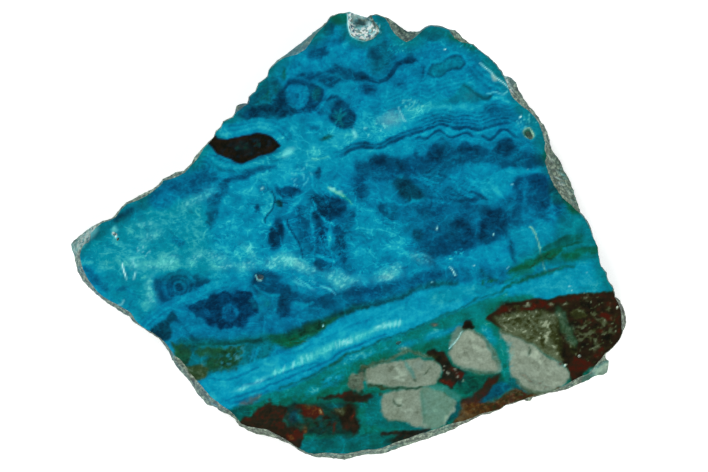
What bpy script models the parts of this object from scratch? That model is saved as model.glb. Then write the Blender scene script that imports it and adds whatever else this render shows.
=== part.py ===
"""A polished slab of chrysocolla: a mirror-flat face, a broken natural rim all round and a flat sawn back.

The slab lies on its sawn back, with the polished face up. +X runs along its length and the origin is on
the back, under the middle of the slab.
"""

from math import ceil, radians

import bpy
import bmesh
from mathutils import Matrix, Vector, noise

# Driving dimensions, in metres.
LENGTH = 0.0894
WIDTH = 0.0720
THICKNESS = 0.0080

# The broken rim, in metres.
STATION_SPACING = 0.0011
FOOT_INSET = 0.0007
FOOT_INSET_CHANGE = 0.0005
LUMP_HEIGHT = 0.00060
LUMP_SIZE = 0.0042
GRAIN_HEIGHT = 0.00024
GRAIN_SIZE = 0.0014
NICK_DEPTH = 0.00007
NICK_SIZE = 0.0009

# How far along the slope from the polished edge to the widest place each upper row lies.
UPPER_ROWS = (0.0, 0.3, 0.65, 1.0)
# How far down from the widest place to the sawn back each lower row lies.
LOWER_ROWS = (0.16, 0.34, 0.52, 0.7, 0.86, 1.0)

# The seeds of the noise: a place in its field for each kind of roughness.
LUMP_SEED = Vector((3.1, 7.7, 1.9))
GRAIN_SEED = Vector((11.3, 2.9, 5.1))
NICK_SEED = Vector((6.7, 13.9, 8.3))
FOOT_SEED = Vector((17.9, 4.3, 9.7))

STONE_COLOUR = (0.004, 0.262, 0.356, 1.0)
STONE_ROUGHNESS = 0.22

MM = 0.001

# Places round the slab, clockwise from its left tip, in millimetres from the middle of the slab. Each is
# the edge of the polished face (x, y), the widest place of the broken rim beside it (x, y) and how far
# below the face that widest place lies.
LEFT_TIP = (
    (-42.8, -4.3, -43.85, -4.6, 3.4),
    (-43.0, -3.2, -44.1, -3.3, 3.2),
    (-42.8, -2.2, -44.5, -2.1, 3.0),
    (-42.3, -1.3, -44.65, -1.3, 3.0),
    (-41.6, -1.0, -44.2, -0.7, 3.0),
    (-41.25, -0.3, -43.2, 0.0, 2.6),
    (-41.2, 0.4, -42.1, 0.9, 2.2),
    (-40.5, 1.3, -41.2, 1.5, 1.6),
)
UPPER_LEFT_EDGE = (
    (-39.3, 2.25, -39.4, 2.4, 1.2),
    (-38.0, 2.65, -38.1, 2.85, 1.6),
    (-37.2, 3.1, -37.5, 3.25, 1.8),
    (-36.4, 4.3, -36.6, 4.45, 1.6),
    (-35.5, 5.15, -35.6, 5.35, 1.4),
    (-33.6, 5.8, -33.9, 6.3, 1.8),
    (-32.4, 6.4, -32.7, 6.95, 1.6),
    (-31.2, 7.25, -31.3, 7.5, 1.4),
    (-30.1, 8.2, -30.3, 8.4, 1.4),
    (-29.6, 8.95, -29.7, 9.15, 1.4),
    (-28.4, 9.15, -28.7, 9.6, 1.6),
    (-27.3, 9.6, -27.8, 10.2, 1.8),
    (-26.2, 10.2, -26.4, 10.5, 1.6),
    (-24.9, 11.6, -25.1, 11.7, 1.4),
    (-24.2, 12.4, -24.7, 12.65, 1.6),
    (-23.2, 14.0, -23.35, 14.1, 1.4),
    (-21.5, 15.85, -21.6, 15.95, 1.2),
    (-21.15, 16.8, -21.25, 16.85, 1.2),
    (-20.4, 17.3, -20.5, 17.4, 1.2),
    (-20.0, 18.3, -20.1, 18.4, 1.2),
    (-18.5, 19.0, -18.6, 19.1, 1.2),
    (-18.0, 19.8, -18.15, 19.9, 1.2),
    (-17.3, 20.3, -17.9, 20.8, 1.0),
    (-16.7, 20.9, -17.3, 21.15, 1.0),
    (-16.0, 21.1, -16.2, 21.25, 1.2),
    (-15.8, 22.3, -15.95, 22.35, 1.4),
    (-14.9, 23.1, -15.0, 23.2, 1.2),
    (-14.3, 24.4, -14.4, 24.5, 1.2),
    (-12.9, 25.5, -13.0, 25.6, 1.2),
    (-12.7, 26.6, -12.8, 26.7, 1.2),
    (-11.4, 27.9, -11.5, 28.05, 1.2),
    (-10.3, 28.6, -10.5, 28.75, 1.2),
)
TOP_SLIVER = (
    (-9.3, 28.8, -9.7, 29.3, 1.6),
    (-8.2, 29.1, -9.0, 30.0, 2.4),
    (-6.9, 29.95, -7.9, 30.9, 2.8),
    (-6.2, 30.9, -6.8, 31.7, 2.6),
    (-5.4, 32.1, -5.7, 32.65, 2.0),
    (-4.3, 33.3, -4.5, 33.5, 1.4),
)
TOP_KNOB = (
    (-3.45, 34.15, -3.55, 34.25, 1.2),
    (-2.9, 35.0, -3.0, 35.05, 1.2),
    (-1.9, 35.45, -2.0, 35.55, 1.2),
    (-0.2, 35.75, -0.2, 35.9, 1.2),
)
TOP_CHIP = (
    (0.0, 34.8, 0.35, 36.0, 1.4),
    (0.15, 33.5, 0.75, 35.85, 2.1),
    (0.45, 32.2, 1.15, 35.7, 2.5),
    (1.4, 31.5, 1.6, 35.55, 2.6),
    (2.8, 31.15, 2.0, 35.45, 2.6),
    (4.0, 31.6, 2.35, 35.35, 2.5),
    (4.9, 32.5, 2.65, 35.2, 2.3),
    (4.9, 33.5, 2.85, 35.1, 2.0),
    (4.1, 34.4, 3.0, 35.05, 1.5),
)
TOP_SHOULDER = (
    (3.7, 35.3, 3.5, 35.4, 1.2),
    (4.6, 35.45, 4.6, 35.6, 1.2),
    (5.9, 34.9, 6.1, 35.05, 1.2),
)
TOP_NOTCH = (
    (6.4, 34.1, 6.9, 34.7, 1.6),
    (6.9, 33.2, 7.6, 34.2, 2.2),
    (7.5, 32.3, 8.3, 33.65, 2.6),
    (8.3, 31.65, 9.0, 33.2, 2.7),
    (9.3, 31.1, 9.7, 32.9, 2.6),
    (10.0, 31.4, 10.3, 32.8, 2.3),
    (10.7, 31.9, 10.9, 32.8, 1.9),
    (11.3, 32.5, 11.4, 32.85, 1.4),
)
TOP_RIGHT_EDGE = (
    (12.4, 33.4, 12.4, 33.55, 1.2),
    (13.2, 33.7, 13.2, 33.85, 1.2),
    (14.8, 33.5, 14.85, 33.65, 1.2),
    (16.1, 33.0, 16.2, 33.15, 1.2),
    (16.6, 32.3, 17.15, 33.05, 1.6),
    (17.1, 31.7, 17.75, 32.5, 1.9),
    (17.9, 31.15, 18.3, 31.75, 1.6),
    (19.0, 30.9, 19.1, 31.15, 1.2),
    (19.9, 30.6, 20.0, 30.75, 1.2),
    (21.0, 29.7, 21.1, 29.8, 1.2),
    (23.1, 28.05, 23.2, 28.15, 1.2),
    (24.1, 26.7, 24.2, 26.8, 1.2),
    (24.8, 25.6, 25.0, 25.85, 1.4),
)
RIGHT_RIM = (
    (25.3, 24.6, 26.3, 25.3, 2.2),
    (25.7, 23.6, 27.0, 24.7, 2.8),
    (26.2, 22.4, 27.4, 23.5, 3.2),
    (27.2, 21.3, 28.2, 22.2, 3.2),
    (28.4, 20.4, 29.0, 21.0, 2.8),
    (29.7, 19.3, 30.1, 19.6, 2.4),
    (30.4, 18.3, 30.9, 18.4, 2.4),
    (30.8, 17.3, 31.7, 17.4, 2.8),
    (31.3, 15.8, 32.3, 15.9, 3.2),
    (31.5, 14.9, 32.45, 14.9, 3.2),
    (31.4, 13.8, 32.7, 13.95, 3.4),
    (31.7, 12.9, 33.3, 13.2, 3.8),
    (31.5, 11.9, 34.1, 12.1, 4.2),
    (31.9, 10.6, 34.6, 10.9, 4.4),
    (32.4, 9.3, 35.35, 9.6, 4.4),
    (32.9, 8.1, 35.95, 8.3, 4.2),
    (33.6, 7.2, 36.35, 7.0, 4.0),
    (34.2, 6.2, 36.65, 5.9, 3.6),
    (35.1, 5.5, 36.95, 5.0, 3.0),
    (36.0, 4.6, 37.1, 4.3, 2.0),
)
RIGHT_EDGE = (
    (37.0, 3.75, 37.2, 3.8, 1.2),
    (37.7, 3.0, 37.85, 3.1, 1.2),
    (38.4, 1.8, 38.55, 1.9, 1.2),
    (39.1, 0.0, 39.2, 0.0, 1.2),
    (39.85, -1.7, 40.0, -1.75, 1.2),
    (39.95, -2.9, 40.05, -2.9, 1.2),
    (40.4, -4.9, 40.5, -4.9, 1.2),
    (41.15, -5.8, 41.3, -5.8, 1.2),
    (41.4, -6.9, 41.55, -6.9, 1.2),
    (42.3, -8.3, 42.45, -8.3, 1.2),
    (42.6, -9.7, 42.8, -9.7, 1.2),
)
RIGHT_BULGE = (
    (43.1, -10.5, 43.6, -10.4, 1.8),
    (43.6, -11.7, 44.15, -11.6, 2.6),
    (43.7, -13.1, 44.7, -13.2, 3.0),
    (43.75, -14.4, 44.55, -14.5, 3.0),
    (43.8, -15.5, 44.0, -15.6, 2.0),
    (43.3, -16.7, 43.4, -16.8, 1.4),
    (42.4, -17.8, 42.5, -17.9, 1.4),
    (41.2, -18.7, 41.35, -18.8, 1.4),
)
GLASSY_CHIP = (
    (40.6, -19.5, 41.2, -19.6, 1.8),
    (40.0, -20.2, 41.75, -20.1, 2.4),
    (39.4, -20.9, 41.8, -21.0, 2.8),
    (38.9, -21.5, 41.6, -21.9, 2.8),
    (38.4, -22.05, 41.1, -22.3, 2.6),
    (37.6, -22.4, 40.0, -22.35, 2.2),
    (36.7, -22.75, 38.6, -23.1, 2.0),
    (35.7, -23.3, 36.9, -23.8, 2.0),
    (34.3, -24.1, 34.9, -24.7, 1.8),
)
BOTTOM_RIGHT_EDGE = (
    (32.8, -24.8, 33.1, -25.0, 1.4),
    (31.4, -25.2, 31.5, -25.35, 1.4),
    (29.5, -25.8, 29.5, -25.95, 1.4),
    (29.2, -25.85, 29.1, -26.4, 1.2),
    (28.6, -26.0, 28.6, -26.45, 1.2),
    (28.3, -26.15, 28.2, -26.3, 1.4),
    (27.3, -26.4, 27.3, -26.6, 1.4),
    (25.2, -27.05, 25.2, -27.2, 1.4),
    (24.1, -27.75, 24.2, -27.9, 1.4),
    (22.8, -28.15, 22.8, -28.4, 1.6),
)
BOTTOM_RIM = (
    (21.3, -28.45, 21.2, -28.8, 1.8),
    (19.9, -29.1, 20.0, -29.5, 1.8),
    (18.3, -29.7, 18.5, -30.15, 2.0),
    (16.7, -30.0, 17.1, -30.95, 2.4),
    (15.2, -30.5, 15.6, -31.6, 2.8),
    (13.4, -31.1, 13.9, -32.2, 3.0),
    (11.4, -31.75, 12.0, -32.85, 3.0),
    (9.6, -32.4, 10.0, -33.5, 3.0),
    (7.7, -33.0, 8.2, -34.1, 3.0),
    (6.0, -33.7, 6.4, -34.75, 3.0),
    (4.6, -34.15, 5.1, -35.1, 3.0),
    (2.8, -34.25, 3.1, -35.15, 3.0),
    (1.2, -34.6, 1.4, -35.45, 3.0),
    (-0.4, -34.9, -0.6, -36.0, 3.0),
    (-2.4, -34.8, -2.4, -35.8, 3.0),
    (-4.2, -34.75, -4.2, -35.65, 2.8),
    (-5.6, -34.95, -5.4, -35.5, 2.0),
)
BOTTOM_LEFT_RIM = (
    (-6.8, -34.6, -6.9, -34.85, 1.6),
    (-8.2, -33.9, -8.3, -34.1, 1.6),
    (-9.2, -33.2, -9.4, -33.4, 1.8),
    (-10.4, -32.3, -10.6, -32.95, 2.2),
    (-11.7, -31.7, -12.0, -32.5, 2.6),
    (-12.9, -31.0, -13.2, -32.1, 3.0),
    (-14.4, -30.8, -14.8, -31.9, 3.0),
    (-16.1, -30.5, -16.4, -31.15, 2.4),
    (-17.2, -30.0, -17.5, -30.45, 2.0),
    (-17.9, -29.2, -18.2, -29.4, 1.8),
    (-18.7, -28.2, -19.2, -28.6, 2.0),
    (-19.9, -27.4, -20.3, -28.25, 2.2),
    (-21.0, -26.6, -21.4, -27.5, 2.6),
    (-22.1, -25.7, -22.8, -27.15, 3.2),
    (-23.0, -24.6, -23.6, -26.2, 3.2),
    (-24.1, -23.3, -24.7, -24.8, 3.0),
    (-25.4, -21.9, -25.9, -22.9, 2.6),
    (-26.0, -20.9, -26.8, -22.0, 2.8),
    (-26.9, -19.8, -27.6, -21.0, 2.8),
    (-27.9, -19.1, -28.3, -19.9, 2.2),
)
LOWER_LEFT_EDGE = (
    (-28.5, -18.2, -28.8, -18.6, 1.8),
    (-29.3, -17.1, -29.6, -17.45, 1.6),
    (-30.1, -16.4, -30.2, -16.6, 1.4),
    (-31.3, -15.6, -31.4, -15.75, 1.4),
    (-33.0, -14.5, -33.1, -14.65, 1.4),
    (-34.1, -13.5, -34.5, -13.75, 1.6),
    (-34.8, -12.4, -35.1, -12.9, 1.8),
    (-35.6, -11.85, -36.1, -12.45, 2.0),
    (-37.3, -10.9, -37.7, -11.4, 2.0),
    (-39.2, -9.8, -39.5, -10.15, 1.8),
    (-40.2, -8.9, -40.5, -9.3, 2.0),
    (-41.2, -7.6, -41.8, -8.2, 2.6),
    (-42.0, -6.4, -42.9, -7.1, 3.2),
    (-42.5, -5.3, -43.6, -5.8, 3.4),
)

# Each stretch of the rim with how hollow its slope is: 0 is a straight slope, 1 a shell-shaped chip.
STRETCHES = (
    (LEFT_TIP, 0.2),
    (UPPER_LEFT_EDGE, 0.0),
    (TOP_SLIVER, 0.1),
    (TOP_KNOB, 0.0),
    (TOP_CHIP, 1.0),
    (TOP_SHOULDER, 0.0),
    (TOP_NOTCH, 0.6),
    (TOP_RIGHT_EDGE, 0.0),
    (RIGHT_RIM, 0.3),
    (RIGHT_EDGE, 0.0),
    (RIGHT_BULGE, 0.2),
    (GLASSY_CHIP, 0.8),
    (BOTTOM_RIGHT_EDGE, 0.0),
    (BOTTOM_RIM, 0.1),
    (BOTTOM_LEFT_RIM, 0.1),
    (LOWER_LEFT_EDGE, 0.0),
)


# Small open vugs in the polished face, in millimetres: middle (x, y), half length, half width, depth and
# how far each is turned in degrees.
VUGS = (
    (28.9, 16.1, 0.75, 0.5, 0.5, -50.0),
    (-14.1, -6.6, 0.55, 0.45, 0.4, 0.0),
    (-37.4, 0.35, 0.5, 0.3, 0.35, -20.0),
    (-36.9, -0.5, 0.3, 0.2, 0.3, 60.0),
    (8.0, -17.1, 0.45, 0.3, 0.3, 20.0),
    (37.0, -19.15, 0.3, 0.25, 0.25, 0.0),
)
VUG_ROUNDNESS = 2


def clear_scene():
    """Removes every object, so that the slab is all that the scene holds."""
    for obj in list(bpy.data.objects):
        bpy.data.objects.remove(obj)


def rough(place, size, seed):
    """A smooth random height between about -1 and 1, with lumps of the given size."""
    return noise.noise(place / size + seed)


def key_stations():
    """The stretches in order, each station in metres: edge, widest place, drop and hollowness."""
    for stretch, hollow in STRETCHES:
        for face_x, face_y, rim_x, rim_y, drop in stretch:
            edge = Vector((face_x, face_y, 0.0)) * MM
            rim = Vector((rim_x, rim_y, 0.0)) * MM
            yield edge, rim, drop * MM, hollow


def all_stations():
    """The key stations with even ones between them, where the rim runs straight from each to the next."""
    keys = list(key_stations())
    stations = []
    for this, following in zip(keys, keys[1:] + keys[:1]):
        gap = max((following[0] - this[0]).length, (following[1] - this[1]).length)
        count = max(1, ceil(gap / STATION_SPACING))
        for step in range(count):
            share = step / count
            edge, rim = (this[i].lerp(following[i], share) for i in (0, 1))
            drop, hollow = (this[i] + (following[i] - this[i]) * share for i in (2, 3))
            stations.append((edge, rim, drop, hollow))
    return stations


def outward(rims, index):
    """The level direction straight out of the rim there, over a few stations either side."""
    along = rims[(index + 2) % len(rims)] - rims[index - 2]
    return Vector((-along.y, along.x, 0.0)).normalized()


def upper_point(edge, rim, drop, hollow, share):
    """A point on the slope from the polished edge to the widest place."""
    straight = share
    shell = 1.0 - (1.0 - share) ** 2
    depth = drop * (straight + (shell - straight) * hollow)
    return edge.lerp(rim, share) + Vector((0.0, 0.0, THICKNESS - depth))


def lower_point(rim, drop, out, share):
    """A point on the wall from the widest place down to the sawn back, which lies a little further in."""
    inset = FOOT_INSET + FOOT_INSET_CHANGE * rough(rim, LUMP_SIZE, FOOT_SEED)
    return rim - out * inset * share**2 + Vector((0.0, 0.0, (THICKNESS - drop) * (1.0 - share)))


def roughened(point, out, freedom):
    """The point moved in or out by lumps and grain. Freedom is 0 where it has to stay, as on an edge."""
    height = LUMP_HEIGHT * rough(point, LUMP_SIZE, LUMP_SEED)
    height += GRAIN_HEIGHT * rough(point, GRAIN_SIZE, GRAIN_SEED)
    return point + out * height * freedom


def wall_rows():
    """The rim's points as rows, from the polished edge down to the sawn back."""
    stations = all_stations()
    rims = [station[1] for station in stations]
    columns = []
    for index, (edge, rim, drop, hollow) in enumerate(stations):
        out = outward(rims, index)
        edge = edge - out * NICK_DEPTH * (1.0 + rough(edge, NICK_SIZE, NICK_SEED))
        column = [upper_point(edge, rim, drop, hollow, share) for share in UPPER_ROWS]
        column += [lower_point(rim, drop, out, share) for share in LOWER_ROWS]
        width = min(1.0, (rim - edge).length / LUMP_HEIGHT)
        upper = [width * share * (1.0 - share) for share in UPPER_ROWS]
        freedoms = upper + list(LOWER_ROWS)
        columns.append([roughened(point, out, free) for point, free in zip(column, freedoms)])
    return list(zip(*columns))


def fitted(rows):
    """The rows moved and scaled level, so that the slab is exactly as long and wide as it should be."""
    points = [point for row in rows for point in row]
    low_x, high_x = min(p.x for p in points), max(p.x for p in points)
    low_y, high_y = min(p.y for p in points), max(p.y for p in points)
    middle = Vector(((low_x + high_x) / 2, (low_y + high_y) / 2, 0.0))
    scale = Vector((LENGTH / (high_x - low_x), WIDTH / (high_y - low_y), 1.0))
    return [[(point - middle) * scale for point in row] for row in rows]


def slab_mesh():
    """The closed body: the polished face, the rows of the rim and the sawn back."""
    bm = bmesh.new()
    rings = [[bm.verts.new(point) for point in row] for row in fitted(wall_rows())]
    for upper, lower in zip(rings, rings[1:]):
        for i, vert in enumerate(upper):
            bm.faces.new((upper[i - 1], vert, lower[i], lower[i - 1]))
    bm.faces.new(reversed(rings[0]))
    bm.faces.new(rings[-1])
    mesh = bpy.data.meshes.new("chrysocolla_slab")
    bm.to_mesh(mesh)
    bm.free()
    return mesh


def vug_cutter():
    """Every vug as a flattened ball round its middle on the polished face, all in one hidden object."""
    bm = bmesh.new()
    for x, y, half_length, half_width, depth, turn in VUGS:
        size = Matrix.Diagonal((half_length * MM, half_width * MM, depth * MM, 1.0))
        place = Matrix.Translation((x * MM, y * MM, THICKNESS))
        matrix = place @ Matrix.Rotation(radians(turn), 4, "Z") @ size
        bmesh.ops.create_icosphere(bm, subdivisions=VUG_ROUNDNESS, radius=1.0, matrix=matrix)
    mesh = bpy.data.meshes.new("vug_cutter")
    bm.to_mesh(mesh)
    bm.free()
    cutter = bpy.data.objects.new("vug_cutter", mesh)
    cutter.hide_render = True
    cutter.display_type = "WIRE"
    return cutter


def stone_material():
    material = bpy.data.materials.new("chrysocolla_stone")
    material.use_nodes = True
    shader = material.node_tree.nodes["Principled BSDF"]
    shader.inputs["Base Color"].default_value = STONE_COLOUR
    shader.inputs["Roughness"].default_value = STONE_ROUGHNESS
    shader.inputs["Metallic"].default_value = 0.0
    return material


def main():
    clear_scene()
    mesh = slab_mesh()
    mesh.materials.append(stone_material())
    slab = bpy.data.objects.new("chrysocolla_slab", mesh)
    cutter = vug_cutter()
    vugs = slab.modifiers.new("vugs", "BOOLEAN")
    vugs.operation = "DIFFERENCE"
    vugs.object = cutter
    for obj in (slab, cutter):
        bpy.context.scene.collection.objects.link(obj)


if __name__ == "__main__":
    main()
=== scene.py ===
"""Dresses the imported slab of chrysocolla: its polished face, broken rim and sawn back, on a pale table."""

import math

import bpy
import numpy as np
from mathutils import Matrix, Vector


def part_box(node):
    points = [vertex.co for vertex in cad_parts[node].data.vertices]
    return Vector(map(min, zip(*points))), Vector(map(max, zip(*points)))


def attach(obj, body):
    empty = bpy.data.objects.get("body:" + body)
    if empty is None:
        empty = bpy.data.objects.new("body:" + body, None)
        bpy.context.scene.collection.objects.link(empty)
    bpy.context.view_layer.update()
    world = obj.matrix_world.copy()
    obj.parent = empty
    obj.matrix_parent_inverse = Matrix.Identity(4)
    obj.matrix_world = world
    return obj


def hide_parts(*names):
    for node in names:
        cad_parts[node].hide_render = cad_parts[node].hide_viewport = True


bl_info = {
    "name": "Chrysocolla Slab",
    "version": (1, 0, 0),
    "blender": (4, 5, 0),
    "location": "3D View > Sidebar > Chrysocolla",
    "description": "Models a polished slab of chrysocolla and lights it on a pale table",
    "category": "Mesh",
}

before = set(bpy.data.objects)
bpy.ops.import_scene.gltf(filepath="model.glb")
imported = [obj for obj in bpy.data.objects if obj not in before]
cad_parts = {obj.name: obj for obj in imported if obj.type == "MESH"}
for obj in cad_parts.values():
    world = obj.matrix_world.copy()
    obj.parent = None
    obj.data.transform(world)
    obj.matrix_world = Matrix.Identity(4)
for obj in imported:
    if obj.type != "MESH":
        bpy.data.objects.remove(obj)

NODE = "chrysocolla_slab"
BODY = "root"

MM = 0.001

# The slab's box, as packed.
LOW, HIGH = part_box(NODE)
LENGTH, WIDTH, THICKNESS = HIGH - LOW


def srgb(red, green, blue):
    """The linear colour of a display colour written from 0 to 255."""
    return tuple((c / 255 / 12.92) if c < 11 else ((c / 255 + 0.055) / 1.055) ** 2.4 for c in (red, green, blue))


def colour_property(name, description, display):
    return bpy.props.FloatVectorProperty(
        name=name, description=description, default=srgb(*display), min=0.0, max=1.0, size=3, subtype="COLOR"
    )


def length_property(name, description, default):
    return bpy.props.FloatProperty(name=name, description=description, default=default, min=0.0, unit="LENGTH")


# Smooth noise and distances in the plane of the polished face, in millimetres.


SHUFFLED = np.random.default_rng(11).permutation(256)


def grain(x, y, size, seed):
    """Smooth noise from about -1 to 1 with lumps of the given size."""
    u, v = x / size + 31.7 * seed, y / size + 17.3 * seed
    i, j = np.floor(u).astype(int), np.floor(v).astype(int)
    u, v = u - i, v - j

    def corner(di, dj):
        turn = SHUFFLED[(SHUFFLED[(i + di) & 255] + j + dj) & 255] * (math.tau / 256)
        return np.cos(turn) * (u - di) + np.sin(turn) * (v - dj)

    su, sv = u * u * (3 - 2 * u), v * v * (3 - 2 * v)
    low = corner(0, 0) * (1 - su) + corner(1, 0) * su
    high = corner(0, 1) * (1 - su) + corner(1, 1) * su
    return 1.5 * (low * (1 - sv) + high * sv)


def clouds(x, y, size, seed, octaves=3):
    """Noise with finer noise on it, each octave half as large and half as strong."""
    total = sum(grain(x, y, size / 2**k, seed + k) / 2**k for k in range(octaves))
    return total / (2 - 2 ** (1 - octaves))


def ease(low, high, value):
    """0 below low, 1 above high and a smooth step between them."""
    share = np.clip((value - low) / (high - low), 0.0, 1.0)
    return share * share * (3 - 2 * share)


def rounded(points, closed, steps=6):
    """The smooth curve through the points, as a finer row of points."""
    p = np.array(points, float)
    if closed:
        p = np.concatenate([p[-1:], p, p[:2]])
    else:
        p = np.concatenate([2 * p[:1] - p[1:2], p, 2 * p[-1:] - p[-2:-1]])
    t = (np.arange(steps) / steps)[:, None]
    a, b, c, d = p[:-3, None], p[1:-2, None], p[2:-1, None], p[3:, None]
    curve = b + 0.5 * t * (c - a + t * (2 * a - 5 * b + 4 * c - d + t * (3 * (b - c) + d - a)))
    return np.concatenate([curve.reshape(-1, 2), p[-2:-1]])


def to_curve(x, y, curve):
    """How far each place is from the curve, more than 0 on its left, and how far along it from 0 to 1."""
    steps = np.hypot(*np.diff(curve, axis=0).T)
    ends = np.concatenate([[0.0], np.cumsum(steps)])
    nearest, along, left = np.full(x.shape, 1e9), np.zeros(x.shape), np.ones(x.shape)
    for (x0, y0), (x1, y1), step, start in zip(curve, curve[1:], steps, ends):
        share = np.clip(((x - x0) * (x1 - x0) + (y - y0) * (y1 - y0)) / max(step * step, 1e-9), 0.0, 1.0)
        away = np.hypot(x - x0 - share * (x1 - x0), y - y0 - share * (y1 - y0))
        closer = away < nearest
        nearest = np.where(closer, away, nearest)
        along = np.where(closer, (start + share * step) / ends[-1], along)
        side = (x1 - x0) * (y - y0) - (y1 - y0) * (x - x0)
        left = np.where(closer, np.where(side < 0, -1.0, 1.0), left)
    return nearest * left, along


def inside(x, y, curve):
    """Whether each place is inside the closed curve."""
    odd = np.zeros(x.shape, bool)
    for (x0, y0), (x1, y1) in zip(curve, curve[1:]):
        if y0 != y1:
            odd ^= ((y0 > y) != (y1 > y)) & (x < x0 + (y - y0) * (x1 - x0) / (y1 - y0))
    return odd


# The face as a drawing in mineral terms. Every place has a share from 0 to 1 of each of these.
#   tone    how pale the chrysocolla or quartz is
#   green   how far the blue turns to malachite green
#   iron    ironstone in place of chrysocolla
#   rust    how far the ironstone goes from black over red to tan
#   quartz  grey quartz in place of chrysocolla
#   milk    white haze, specks and healed cracks over everything
#   olive   olive-green crust over chrysocolla, ironstone and quartz
#   fibre   how strongly fine pale threads show
#   bare    how far the rim shows the stone's own colour in place of its crust
MINERALS = ("tone", "green", "iron", "rust", "quartz", "milk", "olive", "fibre", "bare")


class Face:
    """Places on the slab, in millimetres, with what the stone is made of at each of them."""

    def __init__(self, x, y):
        self.x, self.y = x, y
        self.wx = x + 0.5 * clouds(x, y, 3.0, 1.0) + 0.25 * clouds(x, y, 1.0, 4.0, 2)
        self.wy = y + 0.5 * clouds(x, y, 3.0, 7.0) + 0.25 * clouds(x, y, 1.0, 9.0, 2)
        for mineral in MINERALS:
            setattr(self, mineral, np.zeros(x.shape))

    def near(self, points, margin, wobble):
        """The places in a box round a feature, and where they seem to be once its edge is made uneven."""
        (left, bottom), (right, top) = np.min(points, 0) - margin, np.max(points, 0) + margin
        places = np.flatnonzero((self.x > left) & (self.x < right) & (self.y > bottom) & (self.y < top))
        x = self.x[places] + wobble * (self.wx - self.x)[places]
        y = self.y[places] + wobble * (self.wy - self.y)[places]
        return places, x, y

    def lay(self, places, share, minerals):
        """Mixes the given amount of each named mineral over what is there."""
        for mineral, amount in minerals.items():
            field = getattr(self, mineral)
            field[places] += (amount - field[places]) * share

    def area(self, outline, soft=0.5, share=1.0, wobble=1.0, smooth=True, **minerals):
        """Fills a closed outline."""
        curve = rounded(outline, True) if smooth else np.array([*outline, outline[0]], float)
        places, x, y = self.near(curve, soft + 1.0, wobble)
        away, _ = to_curve(x, y, curve)
        depth = np.where(inside(x, y, curve), np.abs(away), -np.abs(away))
        self.lay(places, share * ease(-soft, soft, depth), minerals)

    def line(self, points, width, soft=0.15, share=1.0, wobble=0.6, taper=0.0, **minerals):
        """Draws a vein along a curve. Taper is how much thinner it is at its ends, from 0 to 1."""
        curve = rounded(points, False)
        places, x, y = self.near(curve, width + soft + 1.0, wobble)
        away, along = to_curve(x, y, curve)
        half = width / 2 * (1 - taper * (2 * along - 1) ** 2)
        self.lay(places, share * (1 - ease(half - soft, half + soft, np.abs(away))), minerals)

    def bands(self, points, profile, share=1.0, ends=0.12, **minerals):
        """Lays bands beside a curve, each as (distance to its left, tone), and fades them out at its ends."""
        curve = rounded(points, False)
        offsets, tones = zip(*profile)
        places, x, y = self.near(curve, max(np.abs(offsets)) + 0.5, 0.5)
        away, along = to_curve(x, y, curve)
        border = 0.2
        share = share * ease(offsets[0] - border, offsets[0] + border, away)
        share *= 1 - ease(offsets[-1] - border, offsets[-1] + border, away)
        if ends:
            share *= ease(0.0, ends, along) * ease(0.0, ends, 1 - along)
        self.lay(places, share, {"tone": np.interp(away, offsets, tones)})
        self.lay(places, share, minerals)

    def eye(self, x, y, rings, share=1.0, **minerals):
        """Lays rings round a point, each as (radius, tone)."""
        radii, tones = zip(*rings)
        places, px, py = self.near([(x, y)], radii[-1] + 1.0, 0.6)
        radius = np.hypot(px - x, py - y)
        share = share * (1 - ease(radii[-2], radii[-1], radius))
        self.lay(places, share, {"tone": np.interp(radius, radii, tones)})
        self.lay(places, share, minerals)

    def ellipse(self, x, y, half_length, half_width, turn, margin, wobble):
        """The places round an ellipse turned by so many degrees, along it, across it and outside its edge."""
        reach = max(half_length, half_width)
        places, px, py = self.near([(x, y)], reach + margin + 1.0, wobble)
        c, s = math.cos(math.radians(turn)), math.sin(math.radians(turn))
        along, across = (px - x) * c + (py - y) * s, (py - y) * c - (px - x) * s
        away = (np.hypot(along / half_length, across / half_width) - 1) * min(half_length, half_width)
        return places, along, across, away

    def spot(self, x, y, half_length, half_width, turn=0.0, soft=0.3, share=1.0, wobble=0.9, **minerals):
        """Fills an ellipse, turned anticlockwise by so many degrees."""
        places, _, _, away = self.ellipse(x, y, half_length, half_width, turn, soft, wobble)
        self.lay(places, share * (1 - ease(-soft, soft, away)), minerals)

    def streaks(self, x, y, half_length, half_width, turn, spacing, share, seed, stretch=6.0, **minerals):
        """Draws thin uneven streaks along the turned ellipse, fading out towards its edge."""
        places, along, across, away = self.ellipse(x, y, half_length, half_width, turn, 0.0, 0.5)
        fade = 1 - ease(-0.7 * min(half_length, half_width), 0.0, away)
        thread = clouds(along / stretch, across, spacing, seed, 3)
        self.lay(places, share * fade * ease(0.0, 0.3, thread), minerals)

    def blotches(self, x, y, half_length, half_width, turn, size, share, seed, **minerals):
        """Draws ragged patches all over the turned ellipse, fading out towards its edge."""
        self.streaks(x, y, half_length, half_width, turn, size, share, seed, 1.4, **minerals)

    def speckle(self, x, y, half_length, half_width, turn, count, size, seed, share, **minerals):
        """Scatters small spots over the turned ellipse."""
        random = np.random.default_rng(seed)
        c, s = math.cos(math.radians(turn)), math.sin(math.radians(turn))
        for _ in range(count):
            reach, angle = math.sqrt(random.random()), random.uniform(0, math.tau)
            along, across = half_length * reach * math.cos(angle), half_width * reach * math.sin(angle)
            long, tall = size * random.uniform(0.6, 1.4), size * random.uniform(0.5, 1.0)
            place = (x + along * c - across * s, y + along * s + across * c)
            self.spot(*place, long, tall, random.uniform(0, 180), size / 2, share, **minerals)


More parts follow.
